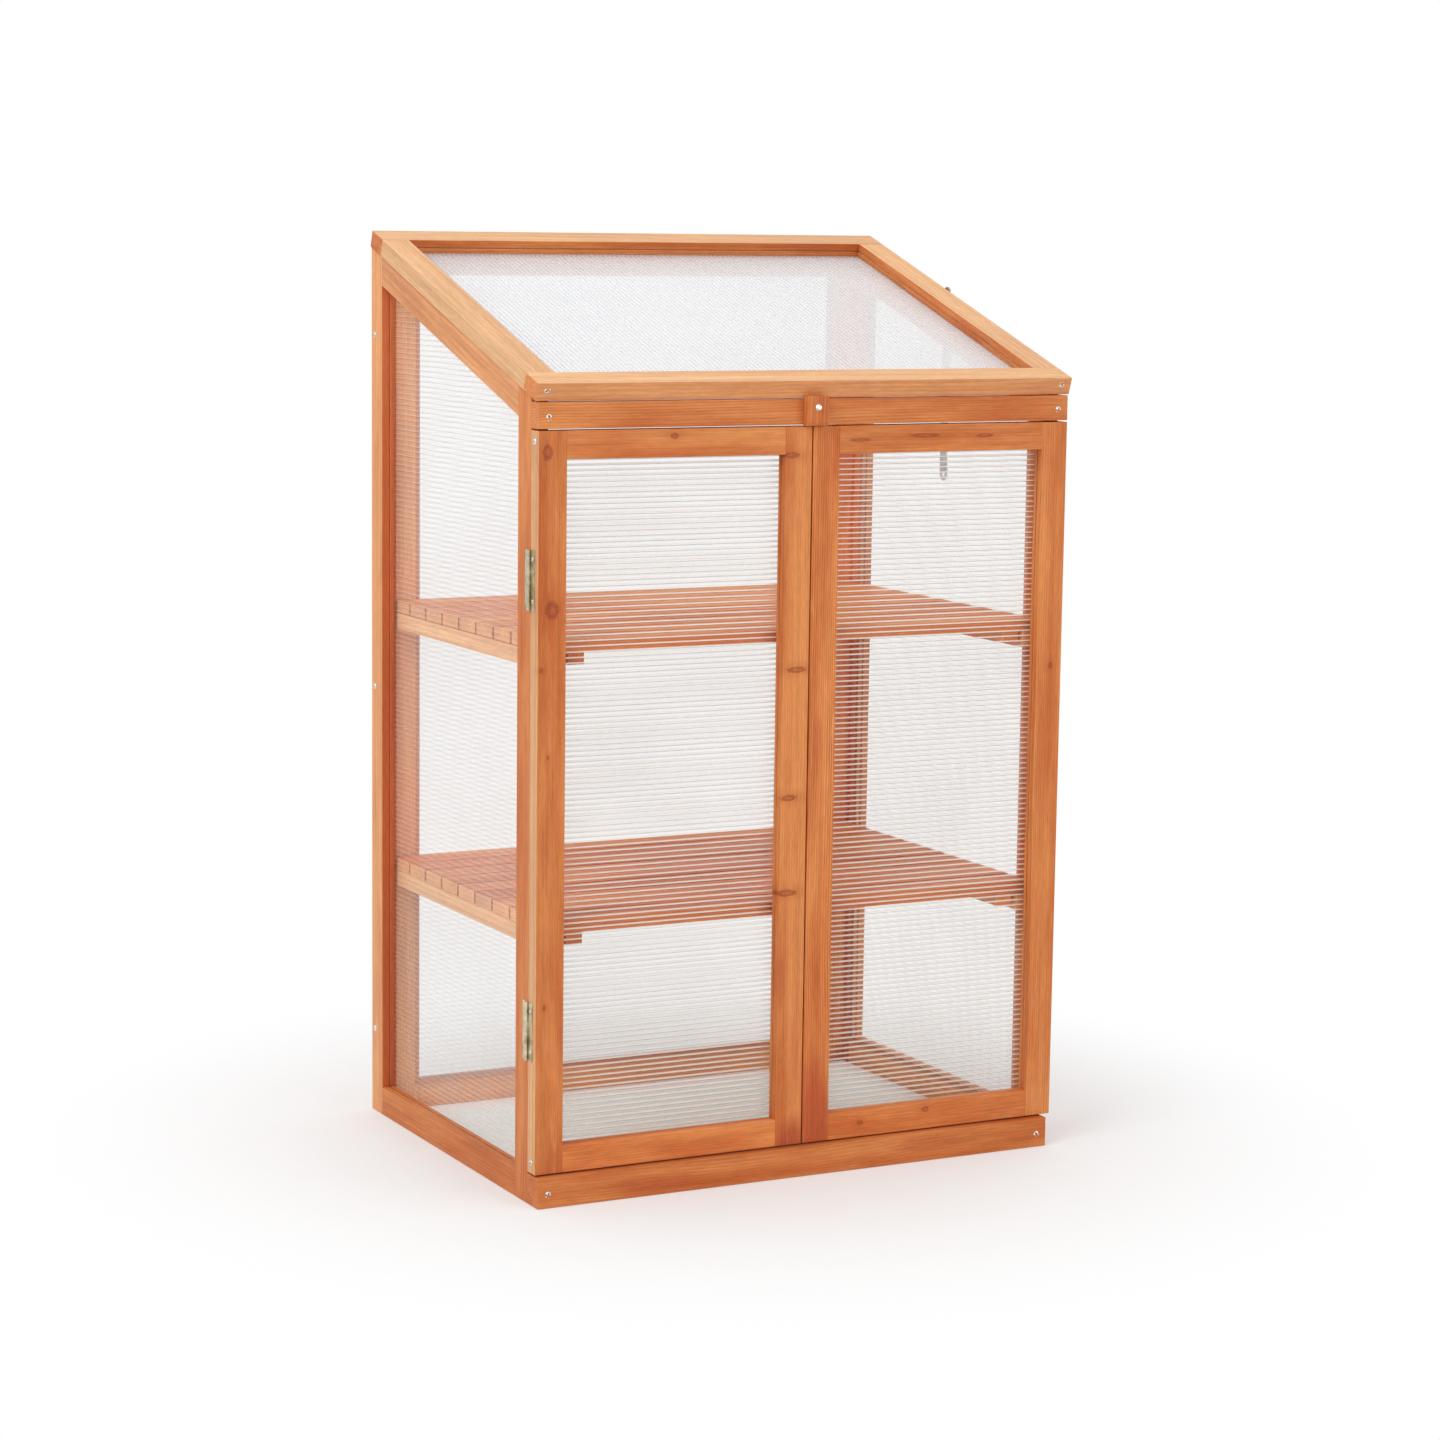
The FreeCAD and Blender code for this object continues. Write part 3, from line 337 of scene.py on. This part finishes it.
# The lid's heavy white haze and the side sheets' lighter haze are painted reflection, seen at a
# slant.
SHEET = {
    # The doors' sheets: painted highlight bands and painted shade lines on their flutes.
    "wall": sheet_material("sheet_wall", 0.02, 0.035, 0.55, 0.30,
                           (255, 243, 228), (150, 170, 182)),
    "web": sheet_material("sheet_web", 0.06, 0.10),
    "side_wall": sheet_material("side_sheet_wall", 0.06, 0.09, 0.10, 0.17),
    "side_web": sheet_material("side_sheet_web", 0.10, 0.16),
    "far_wall": sheet_material("far_sheet_wall", 0.06, 0.09, 0.05, 0.04,
                               lap_painted_light=(222, 142, 92)),
    "far_web": sheet_material("far_sheet_web", 0.05, 0.08),
    "lid_wall": sheet_material("lid_sheet_wall", 0.38, 0.44, 0.06, 0.04,
                               (240, 247, 255), (236, 246, 255)),
    "lid_web": sheet_material("lid_sheet_web", 0.60, 0.70, haze_colour=(240, 247, 255)),
}


def welded_copy(source):
    """A bmesh of a node's mesh with its split points joined."""
    welded = bmesh.new()
    welded.from_mesh(source)
    bmesh.ops.remove_doubles(welded, verts=welded.verts, dist=SAME_POINT)
    return welded


def islands(mesh):
    """Loose parts of a mesh as lists of vertex indices."""
    parent = list(range(len(mesh.vertices)))

    def root(i):
        while parent[i] != i:
            parent[i] = parent[parent[i]]
            i = parent[i]
        return i

    for edge in mesh.edges:
        a, b = (root(i) for i in edge.vertices)
        parent[a] = b
    groups = {}
    for i in range(len(mesh.vertices)):
        groups.setdefault(root(i), []).append(i)
    return [groups[key] for key in sorted(groups)]


def stand_in(name, mesh, node):
    """A new piece in place of a CAD node, on its body."""
    piece = bpy.data.objects.new(name, mesh)
    bpy.context.scene.collection.objects.link(piece)
    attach(piece, BODY_OF[node])
    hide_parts(node)
    return piece


def ease_edges(piece, width, sharp_angle, clamp):
    """Round off the edges that turn by more than the given number of degrees."""
    bevel = piece.modifiers.new("eased_edges", "BEVEL")
    bevel.width = width
    bevel.segments = 2
    bevel.limit_method = "ANGLE"
    bevel.angle_limit = math.radians(sharp_angle)
    bevel.use_clamp_overlap = clamp


# Wooden pieces and the way their fibres run: each board is its node's own shape with softened
# edges.
GRAIN_AXIS = {"X": X, "Y": Y, "Z": Z, "S": SLANT}
WOODEN = {
    "left_side_front_stile": "Z", "left_side_rear_stile": "Z", "left_side_top_rail": "S",
    "left_side_bottom_rail": "Y", "right_side_front_stile": "Z", "right_side_rear_stile": "Z",
    "right_side_top_rail": "S", "right_side_bottom_rail": "Y", "back_left_stile": "Z",
    "back_right_stile": "Z", "back_top_rail": "X", "back_bottom_rail": "X",
    "front_top_rail": "X", "front_bottom_rail": "X",
    "left_door_hinge_stile": "Z", "left_door_meeting_stile": "Z", "left_door_top_rail": "X",
    "left_door_bottom_rail": "X", "right_door_hinge_stile": "Z", "right_door_meeting_stile": "Z",
    "right_door_top_rail": "X", "right_door_bottom_rail": "X", "turn_button": "Z",
    "lid_front_rail": "X", "lid_back_rail": "X", "lid_left_rail": "S", "lid_right_rail": "S",
    "upper_shelf_slats": "X", "upper_shelf_battens": "Y", "lower_shelf_slats": "X",
    "lower_shelf_battens": "Y", "shelf_cleats": "Y",
}
# Knots of single boards: panel X and Z in mm, half length along and across the fibres.
KNOTS = {
    "left_door_hinge_stile": [(17.4, 693.0, 10.0, 8.5), (11.0, 872.0, 9.0, 6.0),
                              (4.3, 625.0, 3.0, 2.5), (13.6, 525.0, 2.5, 1.5),
                              (10.5, 235.0, 3.0, 2.0)],
    "left_door_meeting_stile": [(322.0, 863.0, 3.5, 11.0), (333.0, 611.0, 3.5, 13.0),
                                (325.0, 459.0, 3.5, 10.0), (324.0, 345.0, 4.0, 14.0)],
    "right_door_bottom_rail": [(521.0, 62.0, 5.0, 3.5), (430.0, 55.0, 4.0, 3.0)],
    "right_door_hinge_stile": [(684.5, 600.0, 4.0, 3.0)],
    "left_door_top_rail": [(170.0, 888.0, 5.0, 3.5)],
    "right_door_top_rail": [(412.8, 879.0, 14.0, 2.0), (501.0, 883.0, 20.0, 2.4),
                            (584.0, 882.0, 12.0, 2.2)],
}
# Redder stain on single boards: as for the knots, then its strength.
PATCHES = {
    "left_door_meeting_stile": [(334.0, 42.0, 34.0, 24.0, 0.9), (318.0, 240.0, 40.0, 9.0, 0.4)],
    "right_door_meeting_stile": [(366.0, 60.0, 90.0, 26.0, 0.95),
                                 (362.0, 520.0, 50.0, 8.0, 0.5)],
    "left_door_hinge_stile": [(22.0, 40.0, 45.0, 16.0, 0.5), (10.0, 420.0, 60.0, 8.0, 0.4)],
    "front_bottom_rail": [(150.0, 14.0, 90.0, 12.0, 0.45), (520.0, 20.0, 60.0, 10.0, 0.4)],
}
# Brightness, ring strength and redness of single boards, with painted light in the brightness of
# some; the others are drawn at random.
TRAITS = {
    "right_door_meeting_stile": (1.06, 1.0, 0.0), "left_door_meeting_stile": (0.99, 0.4, -0.3),
    "left_door_hinge_stile": (0.97, 0.35, 0.25), "front_bottom_rail": (0.98, 0.5, 0.2),
    "left_door_bottom_rail": (1.12, 0.3, 0.1), "right_door_bottom_rail": (1.09, 0.4, 0.0),
    "lid_front_rail": (1.0, 0.55, -0.7), "left_side_rear_stile": (1.08, 0.4, -0.6),
    "left_side_front_stile": (1.0, 0.4, -0.2), "left_side_top_rail": (1.04, 0.45, -0.4),
    # The back's and right side's boards below, seen from inside, have their brightness raised as
    # painted light.
    "back_left_stile": (1.25, 0.3, -0.7), "back_right_stile": (1.2, 0.4, 0.0),
    "right_side_rear_stile": (1.24, 0.4, 0.0), "back_bottom_rail": (1.3, 0.3, -0.3),
    "right_side_bottom_rail": (1.3, 0.3, -0.3),
}
# What the shelves' pieces change in the traits drawn for them: a raised brightness, as painted
# light inside.
SHELF_PAINTED_LIGHT, SHELF_RINGS, SHELF_REDNESS = 1.2, 0.8, -0.5
# Width of the boards' eased edges, and of the edges of boards that lie along a narrow gap.
SOFT_EDGE, CLOSE_EDGE = 0.6 * MM, 0.2 * MM
CLOSE_FITTING = ("lid_front_rail", "front_top_rail", "left_door_top_rail", "right_door_top_rail")
# Start of the boards' names, the way a face looks, and its share of painted light, drawn as pale
# wood, on faces that catch the light, most turned up or to the left, and on inner faces seen
# through the sheets; below zero, its share of painted shade, drawn as redder stain, on a reveal
# and on the shelves' front faces.
PAINTED_LIGHT_AND_SHADE_FACES = [
    ("lid_", ROOF_UP, 0.66), ("lid_front_rail", -SLANT, 0.26), ("lid_left_rail", LEFT, 0.75),
    ("left_door_hinge_stile", LEFT, 0.62), ("left_side_top_rail", LEFT, 0.3),
    ("left_side_rear_stile", LEFT, 0.28), ("left_side_rear_stile", FRONT, -0.75),
    ("upper_shelf_", LEFT, 0.4), ("upper_shelf_", FRONT, -0.4),
    ("lower_shelf_", LEFT, 0.4), ("lower_shelf_", FRONT, -0.4), ("shelf_cleats", LEFT, 0.62),
    ("back_left_stile", FRONT, 0.45), ("back_bottom_rail", FRONT, 0.4),
    ("right_side_bottom_rail", LEFT, 0.4),
]
# A face looks a given way when its normal's share along it is above this.
FACING = 0.7


def board(node, axis):
    """Copy of a wooden node with eased edges and its own run of grain."""
    mesh = NODES[node].data.copy()
    welded = welded_copy(mesh)
    bmesh.ops.dissolve_limit(welded, angle_limit=math.radians(1), verts=welded.verts,
                             edges=welded.edges)
    welded.to_mesh(mesh)
    welded.free()
    fibre = GRAIN_AXIS[axis]
    side = Z if axis == "X" else X
    across = fibre.cross(side)
    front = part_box(node)[0].y
    places, traits = [0.0] * (3 * len(mesh.vertices)), [0.0] * (3 * len(mesh.vertices))
    knots, patches = [], []
    for group in islands(mesh):
        start = Vector((random.uniform(2, 30), random.choice((-1, 1)) * random.uniform(0.05, 0.16),
                        random.uniform(0.01, 0.09)))
        tone, ringy, red = (random.uniform(0.95, 1.04), random.uniform(0.25, 0.8),
                            random.uniform(-0.3, 0.35))
        if "shelf" in node:
            tone, ringy, red = tone * SHELF_PAINTED_LIGHT, ringy * SHELF_RINGS, red + SHELF_REDNESS
        trait = TRAITS.get(node, (tone, ringy, red))
        centre = sum((mesh.vertices[i].co for i in group), Vector()) / len(group)

        def grain_place(point):
            local = point - centre
            return start + Vector((local.dot(fibre), local.dot(side), local.dot(across)))

        for i in group:
            places[3 * i:3 * i + 3] = grain_place(mesh.vertices[i].co)
            traits[3 * i:3 * i + 3] = trait
        for table, found in ((KNOTS, knots), (PATCHES, patches)):
            for panel_x, panel_z, long_way, short_way, *strength in table.get(node, ()):
                spot = grain_place(Vector((panel_x * MM + PANEL_SHIFT.x * MM, front,
                                           panel_z * MM)))
                found.append((*spot, long_way * MM, short_way * MM, *strength))
    pale = [0.0] * len(mesh.polygons)
    # Faces turned a given way: painted light where the share is above zero, painted shade below
    # it.
    for start_of_name, way, share in PAINTED_LIGHT_AND_SHADE_FACES:
        if node.startswith(start_of_name):
            pale = [share if face.normal.dot(way) > FACING else old
                    for face, old in zip(mesh.polygons, pale)]
    mesh.attributes.new("grain", "FLOAT_VECTOR", "POINT").data.foreach_set("vector", places)
    mesh.attributes.new("trait", "FLOAT_VECTOR", "POINT").data.foreach_set("vector", traits)
    mesh.attributes.new("pale", "FLOAT", "FACE").data.foreach_set("value", pale)
    mesh.materials.clear()
    own_marks = knots or patches
    mesh.materials.append(wood_material(node + "_fir", knots, patches) if own_marks else WOOD)
    ease_edges(stand_in(node + "_board", mesh, node),
               CLOSE_EDGE if node in CLOSE_FITTING else SOFT_EDGE, 35, clamp=False)


for node_name, grain_axis in WOODEN.items():
    board(node_name, grain_axis)


# The heads' rims stand this much wider than the plain solids' flats.
HEAD_GROWTH = 1.1
# A head begins where its solid is wider than the shank by this factor.
HEAD_OVER_SHANK = 1.2
HEAD_STEPS = 40
# Outline of the dome, from the middle outward: share of its radius, share of its height.
DOME = ((0.12, 1.0), (0.2, 1.0), (0.28, 0.99), (0.36, 0.97), (0.46, 0.94), (0.56, 0.9),
        (0.68, 0.80), (0.80, 0.66), (0.90, 0.48), (0.97, 0.24), (1.0, 0.0))
# The cross, in shares of the head's radius: an arm's half width, the slope beside it, the length
# of its arms, where they begin to rise and over what way; then its depth in head heights.
CROSS_ARM, CROSS_SLOPE, CROSS_REACH, CROSS_FLAT, CROSS_RISE = 0.10, 0.06, 0.6, 0.3, 0.25
CROSS_DEPTH = 0.75
# Painted shade in the cross for each share of depth.
CROSS_SHADE_PER_DEPTH = 1.6
# Radius of the shank's tip, in shank radii, and the length of its point.
TIP_RADIUS, POINT_LENGTH = 0.15, 2.0


def spread(points, way):
    reach = [p.dot(way) for p in points]
    return max(reach) - min(reach)


def radii_of(points, way, axis_at):
    return [((p - axis_at) - way * (p - axis_at).dot(way)).length for p in points]


def screw_heads(node):
    """Round heads with a cross recess in place of the plainer solids, each on its own axis."""
    welded = welded_copy(NODES[node].data)
    plain = bpy.data.meshes.new("plain")
    welded.to_mesh(plain)
    welded.free()
    built = bmesh.new()
    built.verts.layers.float.new("recess")
    ways = [way for axis in (X, Y, SLANT) for way in (axis, -axis)]
    for group in islands(plain):
        points = [plain.vertices[i].co for i in group]
        longest = max(spread(points, way) for way in ways)
        best = None
        for way in ways:
            if spread(points, way) < longest - SAME_HEIGHT:
                continue
            top = max(p.dot(way) for p in points)
            tip = min(p.dot(way) for p in points)
            tips = [p for p in points if p.dot(way) < tip + SAME_HEIGHT]
            axis_at = sum(tips, Vector()) / len(tips)
            radii = radii_of(points, way, axis_at)
            crown = max(r for r, p in zip(radii, points) if p.dot(way) > top - SAME_HEIGHT)
            end = max(r for r, p in zip(radii, points) if p.dot(way) < tip + SAME_HEIGHT)
            if crown > end:
                best = (way, axis_at, top, tip, radii, end)
        way, axis_at, top, tip, radii, shank = best
        foot = min(p.dot(way) for p, r in zip(points, radii) if r > shank * HEAD_OVER_SHANK)
        one_screw(built, axis_at - way * axis_at.dot(way), way, foot, top, tip, max(radii), shank)
    bmesh.ops.recalc_face_normals(built, faces=built.faces)
    mesh = bpy.data.meshes.new(node + "_heads")
    built.to_mesh(mesh)
    built.free()
    bpy.data.meshes.remove(plain)
    mesh.materials.append(SCREW_METAL)
    mesh.shade_smooth()
    stand_in(node + "_detailed", mesh, node)


def one_screw(built, base, way, foot, top, tip, wide, shank):
    """Dome with a cross recess, a rim, and a pointed shank."""
    recess = built.verts.layers.float["recess"]
    wide *= HEAD_GROWTH
    first = way.orthogonal().normalized()
    turn = random.uniform(0, math.pi)
    first = first * math.cos(turn) + way.cross(first) * math.sin(turn)
    second = way.cross(first)
    high = top - foot
    angles = [2 * math.pi * i / HEAD_STEPS for i in range(HEAD_STEPS)]
    rows = []
    for share, level in DOME:
        row = []
        for angle in angles:
            u, v = share * math.cos(angle), share * math.sin(angle)
            beside_arm = max(0.0, min(abs(u), abs(v)) - CROSS_ARM)
            sunk = max(0.0, 1.0 - beside_arm / CROSS_SLOPE) if share < CROSS_REACH else 0.0
            drop = CROSS_DEPTH * sunk * (1.0 - max(0.0, share - CROSS_FLAT) / CROSS_RISE)
            height = foot + high * (level - max(0.0, drop))
            vertex = built.verts.new(base + first * (u * wide) + second * (v * wide)
                                     + way * height)
            # The recess value is painted shade, deeper where the cross sinks.
            vertex[recess] = min(1.0, drop * CROSS_SHADE_PER_DEPTH)
            row.append(vertex)
        rows.append(row)
    for reach, at in ((shank, foot), (shank, tip + POINT_LENGTH * shank),
                      (shank * TIP_RADIUS, tip)):
        rows.append([built.verts.new(base + first * (reach * math.cos(angle))
                                     + second * (reach * math.sin(angle)) + way * at)
                     for angle in angles])
    centre = built.verts.new(base + way * (foot + high * (1.0 - CROSS_DEPTH)))
    centre[recess] = 1.0
    for i in range(HEAD_STEPS):
        j = (i + 1) % HEAD_STEPS
        built.faces.new((centre, rows[0][i], rows[0][j]))
        for inner, outer in zip(rows, rows[1:]):
            built.faces.new((inner[i], outer[i], outer[j], inner[j]))
    built.faces.new(rows[-1])


for node_name in NODES:
    if node_name.endswith("screws"):
        screw_heads(node_name)

# The other metal nodes keep their shapes.
METAL_EDGE = 0.2 * MM
for node_name, item in NODES.items():
    if node_name in WOODEN or node_name.endswith(("_sheet", "screws")):
        continue
    metal = HINGE_METAL if "leaves" in node_name or "pins" in node_name else SCREW_METAL
    item.data.materials.clear()
    item.data.materials.append(metal)
    ease_edges(item, METAL_EDGE, 40, clamp=True)


FLUTE_PITCH = 6.3 * MM
# The walls stay this far off the rebates, so that no two faces share a plane.
WALL_SET_IN = 0.08 * MM
# The webs end this far before the outline and before the walls' outer faces.
WEB_END_GAP, WEB_WALL_GAP = 0.6 * MM, 0.3 * MM
# Webs shorter than this are left out, in the corner of a slanted outline.
SHORTEST_WEB = 4.0 * MM
# An edge of the outline runs along the flutes when it rises by less than this.
LEVEL_EDGE = 10.0 * MM


def sheet_piece(node, kind, origin, across, up, normal, outline, depth):
    """Walls joined by webs, open at the flutes' ends, which the frames' rebates hide.
    The flutes run along across; outline is in across and up."""
    built = bmesh.new()
    for name in ("flute", "rim_fourth"):
        built.verts.layers.float.new(name)
    rim = built.verts.layers.float_vector.new("rim")
    flute, rim_fourth = (built.verts.layers.float[name] for name in ("flute", "rim_fourth"))
    low = min(v for u, v in outline)
    high = max(v for u, v in outline)
    edges = list(zip(outline, outline[1:] + outline[:1]))
    borders = sorted(edges, key=lambda edge: math.dist(*edge))[-4:]

    def way_in(u, v, a, b):
        """Distance of a point inside the outline from the edge from a to b."""
        return abs((b[0] - a[0]) * (v - a[1]) - (b[1] - a[1]) * (u - a[0])) / math.dist(a, b)

    def point(u, v, w):
        vertex = built.verts.new(origin + across * u + up * v + normal * w)
        vertex[flute] = (v - low) / FLUTE_PITCH
        *first_three, fourth = (way_in(u, v, a, b) for a, b in borders)
        vertex[rim] = first_three
        vertex[rim_fourth] = fourth
        return vertex

    near = [point(u, v, WALL_SET_IN) for u, v in outline]
    far = [point(u, v, depth - WALL_SET_IN) for u, v in outline]
    walls = [built.faces.new(near[::-1]), built.faces.new(far)]
    for i, (a, b) in enumerate(edges):
        j = (i + 1) % len(outline)
        if abs(a[1] - b[1]) < LEVEL_EDGE:
            walls.append(built.faces.new((near[i], near[j], far[j], far[i])))
    for i in range(int((high - low) / FLUTE_PITCH)):
        v = low + (i + 0.5) * FLUTE_PITCH
        hits = sorted(a[0] + (b[0] - a[0]) * (v - a[1]) / (b[1] - a[1])
                      for a, b in edges if (a[1] - v) * (b[1] - v) < 0)
        if len(hits) < 2 or hits[1] - hits[0] < SHORTEST_WEB:
            continue
        left, right = hits[0] + WEB_END_GAP, hits[1] - WEB_END_GAP
        inner, outer = WEB_WALL_GAP, depth - WEB_WALL_GAP
        web = built.faces.new([point(u, v, w) for u, w in
                               ((left, inner), (right, inner), (right, outer), (left, outer))])
        web.material_index = 1
    bmesh.ops.recalc_face_normals(built, faces=walls)
    mesh = bpy.data.meshes.new(node + "_walls")
    built.to_mesh(mesh)
    built.free()
    mesh.materials.append(SHEET[kind + "wall"])
    mesh.materials.append(SHEET[kind + "web"])
    stand_in(node + "_twin_wall", mesh, node)


def turns_left(a, b, c):
    return (b[0] - a[0]) * (c[1] - a[1]) - (b[1] - a[1]) * (c[0] - a[0]) > 1e-12


def node_outline(node, origin, across, up):
    """Convex outline of a flat node in its own plane, rounded to thousandths of a mm."""
    points = sorted({(round((v.co - origin).dot(across), 6), round((v.co - origin).dot(up), 6))
                     for v in NODES[node].data.vertices})
    hull = []
    for chain in (points, points[::-1]):
        start = len(hull)
        for p in chain:
            while len(hull) - start >= 2 and not turns_left(hull[-2], hull[-1], p):
                hull.pop()
            hull.append(p)
        hull.pop()
    return hull


# Way along the flutes, way across them and way through the sheet, and kind of material.
SHEETS = {
    "left_side_sheet": (Y, Z, X, "side_"), "right_side_sheet": (Y, Z, X, "far_"),
    "back_sheet": (X, Z, Y, "far_"), "left_door_sheet": (X, Z, Y, ""),
    "right_door_sheet": (X, Z, Y, ""), "lid_sheet": (SLANT, X, ROOF_UP, "lid_"),
}
for node_name, (across, up, normal, kind) in SHEETS.items():
    reach = [v.co.dot(normal) for v in NODES[node_name].data.vertices]
    base = normal * min(reach)
    sheet_piece(node_name, kind, base, across, up, normal,
                node_outline(node_name, base, across, up), max(reach) - min(reach))


# Half size of the floor, and how far it lies below the object's feet, in metres.
FLOOR_REACH, FLOOR_DROP = 14.0, 0.5 * MM
# Half width and half depth of the ground inside the object, where a cool tint is painted against
# the warm light that the wood bounces onto it: the tint fades in between the two.
INSIDE_X, INSIDE_Y = (0.33, 0.31), (0.21, 0.19)
# The camera sees a share of plain white that grows between these ways from the middle.
WHITE_FROM, WHITE_TO, WHITE_LEAST = 0.30, 0.90, 0.2


def floor_material():
    """Pale paper that turns plain white for the camera away from the object. Under the object it
    has a cool tint painted against the warm light that the wood bounces onto it.
    """
    t = Tree(bpy.data.materials.new("studio_floor"))
    at = t.node("TexCoord").outputs["Object"]
    paper = t.mix(t.noise(at, 40.0, 2.0), linear(246, 246, 246), linear(250, 250, 250))
    x, y, _ = t.split(at)
    inside = t.times(t.band(t.math("ABSOLUTE", x), *INSIDE_X),
                     t.band(t.math("ABSOLUTE", y), *INSIDE_Y))
    # Cool tint painted under the object against the warm bounced light.
    paper = t.mix(inside, paper, linear(236, 252, 248))
    matt = t.node("BsdfDiffuse", {"Color": paper}).outputs[0]
    glow = t.node("Emission", {"Color": WHITE, "Strength": 1.0}).outputs[0]
    away = t.band(t.vector("LENGTH", at), WHITE_FROM, WHITE_TO, WHITE_LEAST, 1.0)
    share = t.times(t.node("LightPath").outputs["Is Camera Ray"], away)
    return t.close(t.node("MixShader", {0: share, 1: matt, 2: glow}).outputs[0])


floor_mesh = bpy.data.meshes.new("floor")
floor_mesh.from_pydata([(x * FLOOR_REACH, y * FLOOR_REACH, 0)
                        for x, y in ((-1, -1), (1, -1), (1, 1), (-1, 1))], [], [(0, 1, 2, 3)])
floor_mesh.materials.append(floor_material())
floor = bpy.data.objects.new("studio_floor", floor_mesh)
floor.location = (0, 0, -FLOOR_DROP)
bpy.context.scene.collection.objects.link(floor)

# The world lights the object at this strength, and shows as plain white itself.
WORLD_LIGHT = 0.64
world = bpy.data.worlds.new("studio")
bpy.context.scene.world = world
sky = Tree(world, "OutputWorld")
ray = sky.node("LightPath").outputs
seen = ray["Is Camera Ray"]
for kind_of_ray in ("Is Glossy Ray", "Is Transmission Ray"):
    seen = sky.math("MAXIMUM", seen, ray[kind_of_ray])
sky.close(sky.node("Background", {"Color": WHITE,
                                  "Strength": sky.ramp(seen, WORLD_LIGHT, 1.0)}).outputs[0])

# Name, place, point it looks at, size and watts.
LAMPS = (
    ("key", (-2.6, -1.2, 3.2), (0, 0, 0.6), (2.2, 2.2), 52),
    ("top", (0.3, 0.6, 3.6), (0, 0, 0.5), (2.6, 2.6), 16),
    ("front", (1.6, -3.6, 1.8), (0, 0, 0.5), (2.0, 2.0), 23),
)
for lamp_name, place, aim, size, power in LAMPS:
    light = bpy.data.lights.new(lamp_name, "AREA")
    light.shape = "RECTANGLE"
    light.size, light.size_y = size
    light.energy = power
    lamp = bpy.data.objects.new(lamp_name, light)
    lamp.location = place
    lamp.rotation_euler = (Vector(aim) - Vector(place)).to_track_quat("-Z", "Y").to_euler()
    bpy.context.scene.collection.objects.link(lamp)

# Solved from corners measured in the photo: place in mm from the left side panel's front lower
# corner, angles in degrees, focal length in pixels of a picture this many pixels wide.
CAMERA_PLACE = Vector((-1633.0, -3639.5, 1136.6))
CAMERA_YAW, CAMERA_PITCH, CAMERA_ROLL = 27.279, 8.105, 0.747
CAMERA_FOCAL, PICTURE_WIDTH = 3536.0, 1440.0


def add_camera():
    yaw, pitch, roll = (math.radians(a) for a in (CAMERA_YAW, CAMERA_PITCH, CAMERA_ROLL))
    look = Vector((math.sin(yaw) * math.cos(pitch), math.cos(yaw) * math.cos(pitch),
                   -math.sin(pitch)))
    right = Vector((math.cos(yaw), -math.sin(yaw), 0.0))
    up = right.cross(look)
    turned_right = right * math.cos(roll) + up * math.sin(roll)
    turned_up = up * math.cos(roll) - right * math.sin(roll)
    data = bpy.data.cameras.new("camera")
    data.sensor_width = 36.0
    data.lens = CAMERA_FOCAL / PICTURE_WIDTH * data.sensor_width
    data.clip_end = 60.0
    camera = bpy.data.objects.new("camera", data)
    axes = Matrix((turned_right, turned_up, -look)).transposed().to_4x4()
    axes.translation = (CAMERA_PLACE + PANEL_SHIFT) * MM
    camera.matrix_world = axes
    bpy.context.scene.collection.objects.link(camera)
    bpy.context.scene.camera = camera


add_camera()
bpy.context.scene.view_settings.view_transform = "Standard"
